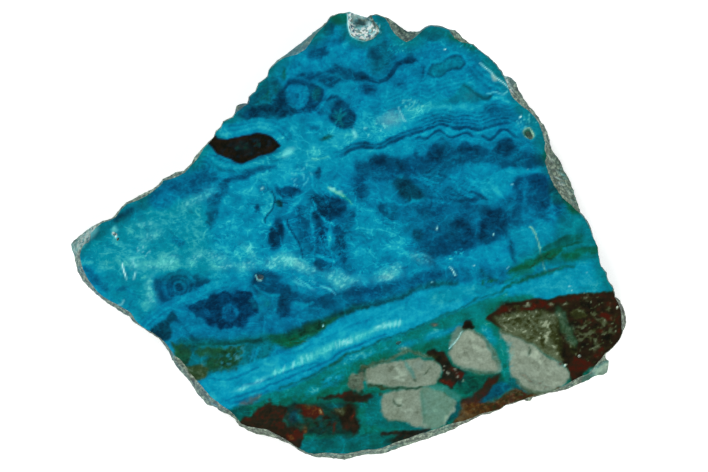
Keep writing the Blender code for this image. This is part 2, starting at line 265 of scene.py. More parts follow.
def paint_ground(face):
    """Blue chrysocolla all over, cloudy, with broad paler and darker zones, turning teal along the edges."""
    face.tone += 0.52
    face.green += 0.08
    face.fibre += 0.45
    face.area([(-44, -2), (-37, 3), (-30, 6), (-24, 7), (-20, 2), (-20, -6), (-30, -7), (-40, -6)], 2.5, tone=0.60, green=0.36, fibre=0.6)
    face.area([(-21, 9), (-13, 8), (-11, 0), (-13, -5), (-20, -6), (-22, 2)], 2.0, 0.9, tone=0.60, green=0.10, fibre=0.9)
    face.area([(-12, 17), (-4, 17), (6, 21), (14, 23), (14, 19.5), (6, 15), (-10, 9), (-16, 9)], 2.0, tone=0.66, green=0.14, fibre=0.9)
    face.area([(-14, 26), (-8, 30), (0, 35), (12, 31), (20, 29), (22, 25), (14, 22.5), (2, 20), (-14, 19)], 1.5, tone=0.5, green=0.08, fibre=0.5)
    face.area([(-22, 18), (-12, 19), (-4, 18), (-4, 16), (-12, 17), (-22, 16)], 1.5, tone=0.56, green=0.14)
    face.area([(2, 10), (12, 13), (31, 13), (35, 5), (27, 0), (21, -3), (13, -4), (9, 2), (2, 6)], 2.5, tone=0.34, fibre=0.5)
    face.area([(-34, -8), (-20, -8), (4, -8), (14, -5), (22, -4), (22, -7), (0, -12), (-12, -17), (-30, -16)], 2.0, tone=0.40, fibre=0.5)
    face.area([(-27, -17), (-20, -16.5), (-12, -16), (-13, -19), (-17, -21), (-25, -22)], 1.2, tone=0.40, green=0.5)
    face.area([(26, -5), (30, -1), (36, 2), (39, 4), (41, -2), (41, -4), (34, -4.5)], 1.5, tone=0.48, green=0.5)
    face.area([(24, -9), (32, -6), (40, -4), (43, -8), (40, -9), (33, -10)], 1.0, tone=0.64, green=0.2, fibre=0.3)
    edge = [(-43, -1.5), (-35.5, 5.2), (-32, 6.2), (-29.5, 9), (-26, 10.4), (-19, 18.8), (-17, 20.6), (-11.5, 28), (-5.5, 32), (-3, 35), (0, 35.8), (0.5, 32.3), (2.5, 31.2), (5, 33), (5.5, 35.4), (8, 32), (10, 31.2), (12.5, 33), (16, 32.4), (22.5, 28.8), (27.5, 22), (30, 19.5), (31.5, 16), (31.5, 13), (34.5, 6.2), (37, 3.9), (40, -2), (40.6, -5), (42.7, -10)]
    face.line(edge, 2.4, 1.6, 0.75, green=0.8, tone=0.38)
    for stretch in (
        [(-18.5, 19.2), (-16.6, 21), (-15, 23.4), (-12.6, 26.8), (-10, 29.2), (-6.6, 31.4), (-4, 34.4)],
        [(-3.2, 35.4), (0, 36)],
        [(11.8, 33.2), (16.4, 32.6)],
        [(20, 31), (22.6, 29), (25.6, 25)],
        [(36, 5.4), (39.4, 0.8), (40.6, -3), (41.4, -7.6)],
    ):
        face.line(stretch, 2.4, 0.8, 0.8, bare=1.0)
    face.line([(-44.5, -3), (-43.2, -1.2), (-41, 1)], 1.6, 0.5, 0.7, bare=0.8, milk=0.35, green=0.7)


def paint_top(face):
    """The top of the slab: blue with dark lobed bands, round eyes and a healed crack."""
    face.area([(-14, 26), (-8, 29), (-4, 32), (10, 30), (18, 30), (20, 27), (8, 25), (-6, 26.6)], 1.5, 0.7, tone=0.42)
    face.area([(-9, 28.5), (-5, 30.4), (-1, 31), (3, 28.6), (-6, 27.2)], 1.0, 0.8, tone=0.54, green=0.05)
    flank = [(-18, 20.4), (-15, 22.8), (-13, 25), (-11, 24.7), (-10, 22), (-9, 20), (-12, 18.8), (-17.5, 18.6)]
    face.area(flank, 0.5, 0.95, tone=0.27, green=0.35)
    face.blotches(-13, 22.4, 2.8, 2.6, 40, 0.8, 0.8, 201, tone=0.2, green=0.7)
    face.blotches(-13, 22.4, 2.8, 2.6, 40, 0.7, 0.6, 202, tone=0.46, green=0.3)
    face.area([(-16, 20.1), (-12.6, 21.2), (-10.6, 23.4), (-9.8, 22), (-8.4, 20), (-11, 19.1), (-17, 18.9)], 0.45, 0.95, 1.3, tone=0.07, green=0.15)
    face.area([(-10.4, 24.2), (-8.4, 25.2), (-4.4, 23.6), (-4, 21.6), (-5.4, 20.2), (-8.4, 19.7), (-10.4, 20.6)], 0.35, 0.95, tone=0.14)
    face.spot(-10.4, 26, 0.35, 0.9, 0, 0.3, tone=0.18, green=0.7)
    face.eye(-8.2, 22.4, [(0, 0.22), (0.3, 0.24), (0.5, 0.44), (0.9, 0.40), (1.2, 0.47), (1.6, 0.42), (1.9, 0.40), (2.2, 0.12), (2.5, 0.12)], 0.95)
    face.spot(-5.0, 22.6, 0.7, 1.1, 0, 0.3, 0.8, tone=0.3, green=0.5)
    lobe = [(-5.4, 20), (-3.2, 22.2), (-2.0, 22.3), (0.3, 20.5), (1.3, 19.2), (1.1, 18), (0.2, 17.2), (-1.2, 17.3), (-2.6, 18), (-3.4, 19.2)]
    face.area(lobe, 0.3, 0.95, tone=0.12)
    face.area([(-4.8, 20), (-2.9, 21.7), (-2, 21.5), (-3, 19.8), (-3.6, 19.3)], 0.3, 0.9, tone=0.4, green=0.15)
    for end in ((-2.6, 19.4), (-2.1, 20.1), (-1.2, 20.3), (-0.5, 19.6), (-0.9, 17.7), (-2.2, 18.1)):
        face.line([(-1.4, 18.8), end], 0.36, 0.15, 0.8, tone=0.46, green=0.5)
    face.bands([(-6, 19.4), (-4.6, 20.4), (-3, 22.6), (-1.8, 22.9), (0, 21.9), (1.8, 20), (2, 18)], [(-0.2, 0.56), (0, 0.62), (0.2, 0.4), (0.4, 0.6)], 0.7)
    face.spot(-5.4, 17.3, 0.9, 0.4, -25, 0.3, 0.8, tone=0.28)
    face.spot(-3.4, 15.7, 0.9, 0.35, 10, 0.25, 0.9, tone=0.22, green=0.7, iron=0.2)
    dark = [(-8.5, 25.6), (-5, 26.2), (-2, 27.1), (2, 26.2), (3.3, 25.5), (6.3, 25.3), (6, 24.2), (4.5, 24.2), (2.8, 24.7), (-1.4, 24.7), (-3, 23.7), (-4.5, 24.6)]
    face.area(dark, 0.4, 1.0, 1.2, tone=0.2)
    face.streaks(-3, 25.6, 3.5, 1.1, 0, 0.5, 0.4, 3, tone=0.5, green=0.2)
    face.spot(2.2, 25.6, 1.6, 0.5, -20, 0.3, tone=0.1)
    lobes = [(2.4, 25.6), (3.4, 25.0), (4.6, 24.6), (5.8, 24.8), (6.8, 25.7), (7.4, 26.9), (8.2, 27.6), (9.6, 27.8), (11.6, 28.3)]
    face.bands(lobes, [(-1.0, 0.5), (-0.4, 0.46), (-0.15, 0.08), (0.3, 0.1), (0.55, 0.34), (0.9, 0.38), (1.4, 0.36)], 0.9)
    for x, y, long, tall, turn, tone in (
        (3.0, 23.8, 1.3, 0.9, -10, 0.14), (8.8, 23.9, 0.9, 0.8, 20, 0.2), (9.6, 28.0, 1.1, 0.4, 15, 0.06),
        (-4.7, 29.3, 1.7, 0.9, 0, 0.2), (-3.2, 33.2, 1.2, 1.2, 30, 0.2), (12.3, 26.6, 0.5, 0.7, 0, 0.26),
        (-1, 31.6, 1.4, 0.5, 25, 0.28), (13.4, 31.7, 0.9, 0.6, 0, 0.24), (19.7, 26.9, 0.5, 0.9, 20, 0.28),
    ):
        face.spot(x, y, long, tall, turn, 0.4, 0.9, 1.4, tone=tone)
    face.area([(3.4, 31), (6, 31.2), (7.2, 29.5), (5.8, 26.2), (4, 26.2), (3, 27.4)], 0.9, 0.9, 1.4, tone=0.3, green=0.3)
    face.spot(4.2, 29.2, 1.1, 1.4, 0, 0.6, 0.8, 1.5, tone=0.2, green=0.2)
    face.area([(-3.4, 35.2), (-0.3, 35.9), (-0.2, 34), (-1.8, 33.9)], 0.5, 0.9, tone=0.3, green=0.85)
    face.speckle(8.3, 30, 2.0, 0.9, 0, 40, 0.12, 5, 0.6, tone=0.85, green=0.5)
    face.area([(11.5, 32.7), (15.4, 32.4), (14.4, 31), (12.5, 31.2)], 0.4, 0.6, tone=0.2, green=0.45)
    face.area([(16, 32.3), (20.6, 30.6), (20, 29.8), (17, 31.3)], 0.3, 0.9, tone=0.28, green=0.85)
    face.speckle(19.5, 29.9, 2.2, 0.7, -25, 26, 0.11, 8, 0.6, tone=0.9, green=0.5)
    ripples = [(k * 0.33, 0.66 if k % 2 else 0.44) for k in range(-5, 6)]
    slope = [(3, 21.3), (6, 21.3), (8.2, 21.9), (9.8, 23.0), (11.2, 23.6), (12.6, 23.2), (14, 23.9), (18, 25.0), (20, 25.9), (22, 25.4), (24, 24.6)]
    face.bands(slope, ripples, 0.55)
    eyes = [(12.9, 25.9), (13.6, 25.4), (14.8, 25.6), (16, 26.4), (17.6, 26.7), (18.5, 27.4), (18.2, 28.3), (17, 28.7), (14.4, 27.5), (13.2, 27), (12.9, 25.9)]
    face.line(eyes, 1.5, 0.25, 0.8, 0.6, tone=0.58)
    face.area(eyes[:-1], 0.2, 0.9, 0.6, tone=0.42, green=0.3)
    face.line(eyes, 0.4, 0.15, 0.8, 0.9, tone=0.2)
    face.bands([(20, 27.9), (21.4, 26.2), (23, 25.0), (25, 24.2)], [(-1.6, 0.48), (-1.2, 0.36), (-0.8, 0.54), (-0.4, 0.34), (0, 0.56), (0.4, 0.36)], 0.7)
    wing = [(13.2, 20.7), (15, 21.6), (16.5, 22.6), (18.4, 24.2), (20.5, 22.9), (23, 22.5), (20, 21.2)]
    face.area(wing, 0.35, 0.95, tone=0.46, green=0.36)
    face.line([(18.4, 24.1), (21.6, 22.1), (23, 22.6)], 0.4, 0.3, 0.8, tone=0.2, green=0.4)
    face.spot(19.4, 22.4, 1.1, 0.7, 0, 0.6, 0.35, iron=0.6, rust=0.9)
    face.area([(21.4, 28.2), (23.6, 27.8), (25.8, 23.9), (22.4, 26.5)], 0.3, tone=0.42, green=0.55)
    face.line([(21.1, 27.6), (26.3, 23)], 0.2, 0.12, 0.85, 0.4, 0.4, milk=0.8)
    face.line([(24.8, 26.2), (25.4, 24.9), (26.2, 23.3)], 0.2, 0.12, 0.8, 0.2, milk=0.8)
    face.spot(23.3, 25.4, 0.6, 0.3, -40, 0.2, 0.7, 1.2, quartz=0.7, milk=0.4)
    face.line([(22.2, 22.9), (23.4, 23.1), (24.6, 22.7), (25.4, 22.9)], 0.16, 0.12, 0.7, 0.8, tone=1.0, milk=0.3)
    face.line([(23.2, 22.1), (24.6, 22.1), (26, 21.2)], 0.5, 0.3, 0.8, 1.2, tone=0.9)
    face.spot(15.5, 29.8, 0.12, 0.12, 0, 0.1, milk=0.8)


def paint_chip(face):
    """The broken notch in the top edge: white crystals, which the rim's material breaks into facets with painted glints
    and shade, with a dark teal hollow, and specks beside it.
    """
    face.area([(0.1, 36), (0.2, 32.5), (2.4, 31.2), (4.3, 32.2), (4.2, 33.4), (3.2, 35.2), (2.8, 36)], 0.15, 0.95, 0.2, milk=0.8, tone=0.8, green=0.5, bare=1.0)
    face.line([(0, 35.6), (0.7, 32.2)], 0.5, 0.2, 1.0, 0.4, milk=1.0)
    face.spot(2.2, 34.4, 1.5, 0.8, 15, 0.3, 1.0, 0.6, tone=0.1, green=0.6, milk=0.0, bare=1.0)
    face.area([(3.4, 35.6), (5.4, 35.4), (5.6, 33.6), (4.6, 33)], 0.4, 0.8, tone=0.4, green=0.55)
    face.speckle(4.6, 33.4, 0.9, 0.9, 0, 12, 0.1, 9, 0.5, milk=0.7)
    face.spot(4.4, 33.0, 0.5, 0.3, -20, 0.15, 0.9, milk=0.9)


def paint_lens(face):
    """The black-brown lens at the upper left and the pale and dark lines that flow round it."""
    over = [(-21.6, 16.6), (-19.4, 16.4), (-14.4, 17.5), (-12, 17.0), (-10.4, 15.9), (-9.6, 14.4)]
    face.bands(over, [(-0.5, 0.62), (-0.1, 0.72), (0.3, 0.5), (0.6, 0.66), (1.0, 0.46), (1.4, 0.6)], 0.9, green=0.15)
    under = [(-23.5, 13.2), (-22, 12.2), (-20, 11.3), (-17.4, 10.9), (-15, 11.5), (-12, 12.6), (-9.6, 13.8)]
    face.bands(under, [(-1.0, 0.56), (-0.6, 0.42), (-0.2, 0.64), (0.3, 0.66), (0.7, 0.36), (1.1, 0.5)], 0.9, green=0.2)
    face.eye(-23.2, 11, [(0, 0.42), (0.3, 0.3), (0.6, 0.5), (0.9, 0.3), (1.25, 0.52), (1.6, 0.38), (1.9, 0.5)])
    face.line([(-17, 9.9), (-11.5, 11.1)], 0.9, 0.35, 0.9, taper=0.6, tone=0.22, green=0.1)
    face.line([(-20.5, 8.2), (-18.8, 9.1), (-15.2, 9.8)], 0.8, 0.3, 0.8, taper=0.6, tone=0.2)
    face.line([(-19.2, 8.8), (-21.4, 5.4), (-22.2, 1.4)], 1.7, 0.6, 0.9, 1.6, 0.4, tone=0.2)
    face.line([(-23.6, 9.4), (-24, 7.4), (-22.6, 6.2)], 1.4, 0.8, 0.6, tone=0.34)
    top = [(-22.4, 15), (-21.4, 16), (-21, 15.6), (-19.5, 15.5), (-17.8, 15.8), (-16, 16.1), (-14.3, 16.5), (-12.8, 16.1), (-11.7, 15.4)]
    bottom = [(-10.9, 14.5), (-11.5, 14), (-12.3, 13.4), (-14, 12.9), (-15.5, 12.3), (-17, 11.6), (-18, 11.8), (-19.5, 12.6), (-21, 13.2), (-21.7, 14)]
    face.area(top + bottom, 0.16, 1.0, 0.4, tone=0.1, iron=1.0, rust=0.05, green=0.0)
    for x, y, long, tall in ((-18.2, 15.3, 1.4, 0.35), (-19.6, 13.2, 1.1, 0.4), (-13.4, 13.7, 1.2, 0.35), (-20.9, 14.6, 0.6, 0.6)):
        face.spot(x, y, long, tall, 10, 0.4, 0.5, rust=0.24)
    face.blotches(-16.2, 14.2, 5.2, 1.7, 10, 0.7, 0.7, 14, green=1.0, iron=0.5, tone=0.12)
    face.spot(-16.8, 14.2, 1.6, 0.7, -20, 0.5, 0.5, green=1.0, iron=0.8, tone=0.3)
    face.line([(-10.6, 12.9), (-9.8, 13.5), (-8.8, 14.0)], 0.8, 0.4, 0.7, taper=0.7, tone=0.95, milk=0.3)


def paint_agate(face):
    """Wavy agate banding across the upper right, with a small yellow-ringed vug at its end."""
    face.area([(2, 16), (8, 18.5), (14, 21), (22, 21.2), (22, 20.4), (14, 19.6), (9, 17.2), (3, 15)], 0.8, tone=0.72, green=0.12)
    main = [(-3.2, 12.4), (-1.2, 12.7), (-0.2, 13.1), (0.8, 13.9), (2.4, 14.1), (4.4, 14.0), (5.6, 14.2), (7, 15.0), (9, 15.8), (11, 16.4), (13, 17.2), (15, 17.8), (17.3, 17.1), (18.8, 17.4), (21, 17.0), (25, 18.0), (27.4, 17.6)]
    face.bands(main, [(-0.6, 0.66), (-0.3, 0.6), (-0.1, 0.18), (0.2, 0.18), (0.42, 0.44), (0.62, 0.28), (0.85, 0.32), (1.05, 0.6)])
    upper = [(10.5, 17.2), (13, 18.3), (15, 18.9), (17, 18.4), (19, 18.5), (21, 18.3), (23, 18.9), (25, 19.2), (27.6, 18.6)]
    levels = [(-0.7, 0.6), (-0.4, 0.2), (-0.15, 0.56), (0.1, 0.26), (0.4, 0.54), (0.7, 0.3), (1.0, 0.62), (1.3, 0.44), (1.6, 0.66), (2.0, 0.7)]
    face.bands(upper, levels)
    face.area([(21.6, 19.6), (23, 20.9), (27, 20.6), (28, 19.6), (26, 18.9), (23.4, 18.9)], 0.5, 0.8, tone=0.27)
    crest = [(21.4, 19.8), (22.6, 20.9), (24.2, 21.1), (25.6, 20.7), (26.8, 21.1), (28.2, 20.6)]
    face.bands(crest, [(-0.9, 0.5), (-0.6, 0.24), (-0.3, 0.48), (0, 0.26), (0.3, 0.5), (0.6, 0.36)], 0.7)
    wave = [(9.8, 15.2), (11.2, 15.7), (12.6, 15.6), (14.2, 16.8), (14.9, 16.6), (15.8, 16.0), (17.0, 15.9), (18.7, 16.6), (19.6, 16.0), (20.8, 15.6)]
    face.bands(wave, [(-0.75, 0.6), (-0.5, 0.44), (-0.3, 0.62), (-0.08, 0.22), (0.12, 0.22), (0.35, 0.62), (0.6, 0.66)])
    zigzag = [(20.8, 16.4), (22.6, 15.4), (24.2, 16.7), (25.1, 16.9), (26, 16.3), (27.2, 15.4)]
    face.bands(zigzag, [(-0.6, 0.5), (-0.35, 0.6), (-0.1, 0.22), (0.15, 0.26), (0.4, 0.6), (0.8, 0.52)])
    below = [(1.6, 10.3), (3.6, 12.4), (5.8, 13.0), (7.6, 12.6), (9.8, 12.5), (10.7, 13.6), (11.6, 12.8), (12.6, 12.4), (13, 13.7), (14, 14.8), (15.2, 15.6), (16.3, 14.8), (17, 13.9), (17.9, 14.9), (18.8, 15.4), (19.8, 14.4), (21, 14.6), (22.3, 13.8), (23.5, 14.1), (24.4, 15.3), (25.5, 15.8), (26.6, 15), (27.6, 13.7), (29.3, 13.1), (31.4, 13.2)]
    foot = [(31.9, 11.2), (28, 11.1), (24.5, 11.2), (21.5, 11.7), (18.6, 11.6), (16, 10.8), (13, 9.7), (10, 9.4), (7.4, 8.8), (5, 9), (2, 8.8), (0.4, 9.3)]
    face.area(below + foot, 0.35, tone=0.24)
    for x, y, long, tall, tone in ((4.8, 11.6, 1.6, 1.2, 0.07), (13.8, 13, 1.1, 1.5, 0.04), (25.0, 14.2, 1.4, 1.3, 0.08), (19, 13.6, 2.2, 0.9, 0.1), (8, 10.8, 2.4, 0.9, 0.1), (28.8, 12.1, 2.0, 0.6, 0.16), (1.9, 11, 0.9, 0.9, 0.14)):
        face.spot(x, y, long, tall, 0, 0.7, 0.9, tone=tone)
    face.area([(6.2, 14.2), (7.4, 13.0), (9.4, 12.9), (10.4, 13.8), (9.2, 14.9), (7.6, 14.9)], 0.4, 0.8, tone=0.64)
    face.spot(6.6, 18.7, 1.5, 0.9, 10, 0.8, 0.2, 1.4, quartz=0.75, milk=0.2)
    face.line([(7.8, 20.5), (8.2, 19.7), (9.1, 18.4)], 0.25, 0.15, 0.7, 1.0, 0.4, milk=0.6)
    face.speckle(10.4, 20.9, 1.9, 0.8, -5, 44, 0.12, 21, 0.45, green=0.4, tone=1.0, milk=0.25)
    face.speckle(4.2, 17.2, 1.8, 1.0, 20, 12, 0.16, 22, 0.7, tone=0.95, milk=0.4)
    face.spot(0.9, 16.4, 0.25, 0.7, 10, 0.2, 0.8, tone=0.9, milk=0.4)
    face.area([(26.8, 20.6), (29.8, 19), (31.2, 15.6), (31, 13.6), (29.6, 15), (28.4, 17.8)], 0.8, 0.6, tone=0.42, green=0.6)
    face.speckle(28.4, 18.2, 1.6, 1.3, 30, 44, 0.12, 24, 0.45, green=0.5, tone=1.0, milk=0.15)
    face.spot(28.9, 16.3, 1.05, 0.85, -35, 0.2, 0.85, tone=0.95, green=0.8, olive=0.75)
    face.spot(28.8, 16.3, 0.8, 0.55, -45, 0.15, 0.95, tone=0.3, green=0.9, olive=0.3, bare=1.0)
    face.spot(27.4, 19.1, 0.2, 0.2, 0, 0.1, milk=0.8)


def paint_heart(face):
    """The middle of the slab: dark cells and pools in brighter blue, crossed by pale veins."""
    face.area([(-16, 6), (-6, 8), (2, 7), (9, 2), (10, -6), (0, -9), (-10, -6), (-17, -4)], 2.0, 0.9, fibre=1.0)
    face.area([(-11, 5), (-6, 6), (-1, 4), (1, 0), (0, -5), (-5, -5), (-8, -2)], 1.2, 0.8, tone=0.46)
    face.area([(-6.4, 6.6), (-2, 7), (0.4, 4.6), (0.2, 0), (0, -4.8), (-5.4, -5.2), (-5.8, -1)], 0.9, 0.8, tone=0.32)
    face.area([(1, 6), (5, 5), (9, 0), (10, -4), (5, -5), (1, -4), (0.4, 0)], 1.2, 0.8, tone=0.58, green=0.1)
    face.area([(2.8, 8.8), (6.4, 8.6), (7.6, 7), (8.4, 5.6), (3.6, 6)], 0.7, 0.8, tone=0.54)
    face.spot(-4.9, 10.2, 0.4, 0.8, -15, 0.25, 0.9, tone=0.16)
    face.line([(-5.8, 12.2), (-4.8, 12.2), (-3.2, 12.8)], 0.3, 0.15, 0.8, tone=0.9, green=0.4)
    face.spot(2.0, 7.2, 1.3, 1.5, 0, 0.6, 0.9, tone=0.2)
    face.spot(2.6, 9, 2.2, 0.8, 10, 0.6, 0.8, tone=0.27)
    face.area([(7.8, 9.4), (9.8, 9), (12.3, 6.2), (10.2, 5.5), (8.4, 6.3), (7.5, 7.8)], 0.6, tone=0.11, green=0.3)
    face.area([(3.6, 5.5), (7.5, 4.3), (8.3, 3.2), (7, 2.5), (5, 3.2)], 0.5, 0.9, tone=0.26)
    face.area([(-11.5, 7.5), (-10, 7.9), (-8, 7.5), (-7.4, 6.9), (-10.5, 6.1)], 0.35, tone=0.17)
    face.spot(-11, 5.3, 0.6, 0.45, 0, 0.2, 0.9, tone=0.06, green=0.5)
    face.spot(-14.6, 4.5, 0.5, 0.7, 0, 0.25, 0.9, tone=0.16)
    face.spot(-13.2, 7.4, 1.3, 0.7, -30, 0.4, 0.5, tone=0.3)
    face.line([(-12.2, 7.1), (-11.7, 6), (-12, 5), (-13.3, 3), (-13.4, 2.2)], 0.25, 0.12, 0.9, tone=0.14, green=0.2)
    face.line([(-12.8, 6.9), (-12.2, 5.9), (-12.4, 4.9), (-13.1, 4)], 0.3, 0.15, 0.8, tone=0.82, green=0.2)
    face.spot(-13.7, 7.5, 0.25, 0.25, 0, 0.15, 0.7, milk=0.6)
    face.speckle(-7.6, 9.6, 1.6, 2.2, -20, 18, 0.22, 31, 0.6, tone=0.9, milk=0.15)
    face.spot(-11.5, 0.4, 1.2, 2.4, -8, 0.4, 1.0, tone=0.07)
    face.line([(-10.4, 2.3), (-8.5, -1)], 0.35, 0.2, 0.7, tone=0.78)
    face.line([(-9.7, 2.5), (-9.3, 1.1), (-8, -1), (-7.2, -3.6)], 0.26, 0.1, 0.9, tone=0.16)
    face.area([(-8.8, 4.6), (-6.2, 5.3), (-5.8, 4), (-5.9, 0), (-6.6, -2), (-7.6, -0.8), (-8.9, 2.6)], 0.5, 0.9, tone=0.32)
    face.line([(-9.4, 3.9), (-8.8, 5.0), (-7.6, 5.8)], 0.6, 0.3, 0.7, taper=0.5, tone=0.76)
    face.area([(-6, 6.2), (-4.8, 7), (-2, 6.2), (-0.3, 4.2), (-2.8, 2.5), (-3.8, 3), (-5.8, 5.3)], 0.35, tone=0.15)
    face.spot(-3.4, 4, 1.15, 0.8, -40, 0.35, tone=0.03)
    face.line([(-3.1, 7.7), (-0.4, 6), (0.4, 5.2)], 0.55, 0.2, 0.95, taper=0.5, tone=0.85, green=0.75)
    face.line([(-2.9, 7.6), (-2.3, 7.3)], 0.25, 0.15, 0.8, milk=0.6)
    face.spot(-1.6, 6.9, 0.35, 0.2, -30, 0.15, 0.8, green=0.8, milk=0.4)
    face.line([(-6, 6), (-4.2, 3), (-2, 1.3), (-0.8, 1.0)], 0.34, 0.15, 0.9, 1.2, 0.5, tone=0.84)
    for x, y, long, tall, turn, tone in (
        (-5, 3.2, 0.5, 1.2, 10, 0.1), (-4.4, 0.4, 1.0, 1.7, 10, 0.06), (-1.3, -0.4, 0.9, 2.0, 15, 0.06), (-0.8, -3.4, 0.6, 1.0, 10, 0.08),
        (-4.6, -4.6, 0.9, 1.0, 0, 0.08), (-2.6, -3.4, 0.5, 1.4, 10, 0.2), (0.5, 3, 0.8, 1.3, -10, 0.28), (-7.5, 1.6, 0.8, 2.8, 8, 0.24),
    ):
        face.spot(x, y, long, tall, turn, 0.35, 0.9, tone=tone)
    face.streaks(-2.8, -1.4, 4.4, 2.8, -70, 0.32, 0.75, 34, 12.0, tone=0.6)
    face.streaks(-2.4, -1.4, 4.4, 2.8, -42, 0.3, 0.6, 36, 12.0, tone=0.66)
    face.streaks(-3.2, 5, 2.6, 1.6, -48, 0.3, 0.5, 35, 10.0, tone=0.42)
    for vein in (
        [(-5.9, 4.8), (-5.9, 2), (-5.6, -0.6), (-5.6, -4)], [(-3.3, 1.6), (-3, -0.6), (-2.6, -3.4), (-2.8, -5)],
        [(6.1, 6), (7.6, 5.4), (8.8, 5.1), (11, 5.6), (13, 5.7), (16, 5.2)], [(3.2, 6.4), (4.2, 4.6), (6, 2.6), (8.6, 2)],
    ):
        face.line(vein, 0.36, 0.2, 0.7, 1.4, tone=0.66)
    face.line([(5.4, -0.4), (6.8, -1.8), (8, -2), (9.4, -2.9)], 0.3, 0.2, 0.7, tone=0.86)


def paint_clouds(face):
    """The pale, feathery belt that runs from the left tip to the middle, with wispy streaks and specks, and painted
    highlights on a vug near the left tip.
    """
    for x, y, long, tall, turn, share in (
        (-11.2, -4.1, 2.0, 1.0, 15, 0.75), (-8.4, -4.3, 2.0, 0.8, -25, 0.75), (-6.4, -5.4, 1.4, 0.5, -15, 0.6),
        (-1.4, -6.7, 1.9, 0.8, -15, 0.7), (0.9, -7.1, 1.0, 0.3, 0, 0.6), (-1.2, -7.7, 0.8, 0.5, -30, 0.8),
        (6.1, -6.4, 1.6, 0.7, 10, 0.8), (7.6, -5.2, 0.9, 0.7, 30, 0.6), (-15.9, -2.4, 1.2, 0.4, -45, 0.6),
        (-16.2, -4.6, 1.2, 0.6, 10, 0.6), (-19.5, -4.7, 1.6, 0.4, 5, 0.6), (-21.2, -3.1, 1.6, 0.5, -20, 0.5),
        (-24.4, -3.4, 0.9, 0.5, 30, 0.6), (-29, -4.1, 1.6, 0.9, 20, 0.6), (-31.3, -4.6, 1.6, 0.5, 0, 0.6),
        (-31.6, 0.1, 1.6, 0.7, 25, 0.45), (-32.6, 1.8, 1.4, 0.4, 10, 0.4), (-34.4, -4.4, 0.9, 1.0, 0, 0.5),
        (-25.2, 5.4, 1.8, 0.5, 35, 0.45), (-22.8, 6.6, 1.3, 0.5, 30, 0.45), (11.6, -3.4, 1.7, 0.6, -20, 0.3),
        (-31.8, -8.4, 0.5, 1.8, -10, 0.5), (-31.3, -10.2, 0.6, 0.9, 0, 0.4),
    ):
        face.spot(x, y, long, tall, turn, 0.8, 0.7 * share, 1.8, tone=0.88, green=0.35, milk=0.1)
        face.blotches(x, y, long * 1.4, tall * 1.5, turn, 0.4, share, int(10 * long), tone=1.0, green=0.3, milk=0.42)
    face.spot(6.2, -6.5, 1.0, 0.4, 10, 0.3, 0.5, rust=1.0, iron=0.25, milk=0.3)
    face.spot(-8.3, -4.3, 1.2, 0.4, -30, 0.3, 0.4, rust=1.0, iron=0.2, milk=0.4)
    face.streaks(-7.2, -7, 3.4, 1.8, -32, 0.4, 0.8, 41, tone=0.92, milk=0.1)
    face.streaks(-16.5, -3, 4.0, 1.6, -40, 0.45, 0.6, 42, tone=0.88, green=0.2)
    face.streaks(-23, 0.5, 5.2, 2.4, -35, 0.5, 0.5, 43, tone=0.84, green=0.25)
    face.streaks(10, -2.8, 4.2, 1.0, -20, 0.35, 0.7, 44, tone=0.9)
    face.streaks(-35, -2, 6.5, 3.2, -15, 0.6, 0.5, 46, tone=0.8, green=0.25)
    face.streaks(-28, -2, 4.5, 1.6, -30, 0.6, 0.55, 47, tone=0.45, green=0.3)
    face.spot(-27, -1, 1.3, 0.6, -30, 0.4, 0.8, tone=0.3, green=0.15)
    face.line([(-4.4, -8.0), (-3, -8.5), (-2, -9.2)], 0.3, 0.2, 0.7, taper=0.6, tone=0.98, milk=0.2)
    face.line([(-5, -3), (-3.5, -3.6), (-2.4, -4.2)], 0.4, 0.25, 0.8, tone=0.85)
    face.speckle(-33, -2.4, 1.4, 0.7, -25, 12, 0.12, 49, 0.7, milk=0.5)
    # Painted highlights: white specks on the rim of the vug at the left tip, where light catches it.
    face.spot(-37.5, 0.5, 0.26, 0.2, 0, 0.12, 0.9, milk=0.9)
    face.spot(-37, 0.1, 0.15, 0.3, 20, 0.12, milk=0.8)
    face.spot(-37.2, 1.1, 0.7, 0.4, 30, 0.3, 0.5, 1.4, tone=1.0, milk=0.3)
    face.spot(-37.2, 0.1, 0.9, 1.0, 0, 0.2, 0.9, bare=1.0)
    face.line([(-36.2, -4.2), (-35.9, -5.5), (-35.5, -7)], 0.26, 0.12, 0.9, 0.3, 0.6, milk=0.85)
    face.line([(-34.1, -5.7), (-34.3, -6.8)], 0.26, 0.14, 0.8, 0.3, 0.4, milk=0.7)
    face.line([(-34.6, -3.6), (-34.2, -4.9)], 0.22, 0.12, 0.7, milk=0.6)
    face.line([(-36.8, -11), (-36.2, -10.8), (-35.9, -10.4)], 0.22, 0.15, 0.6, milk=0.6)


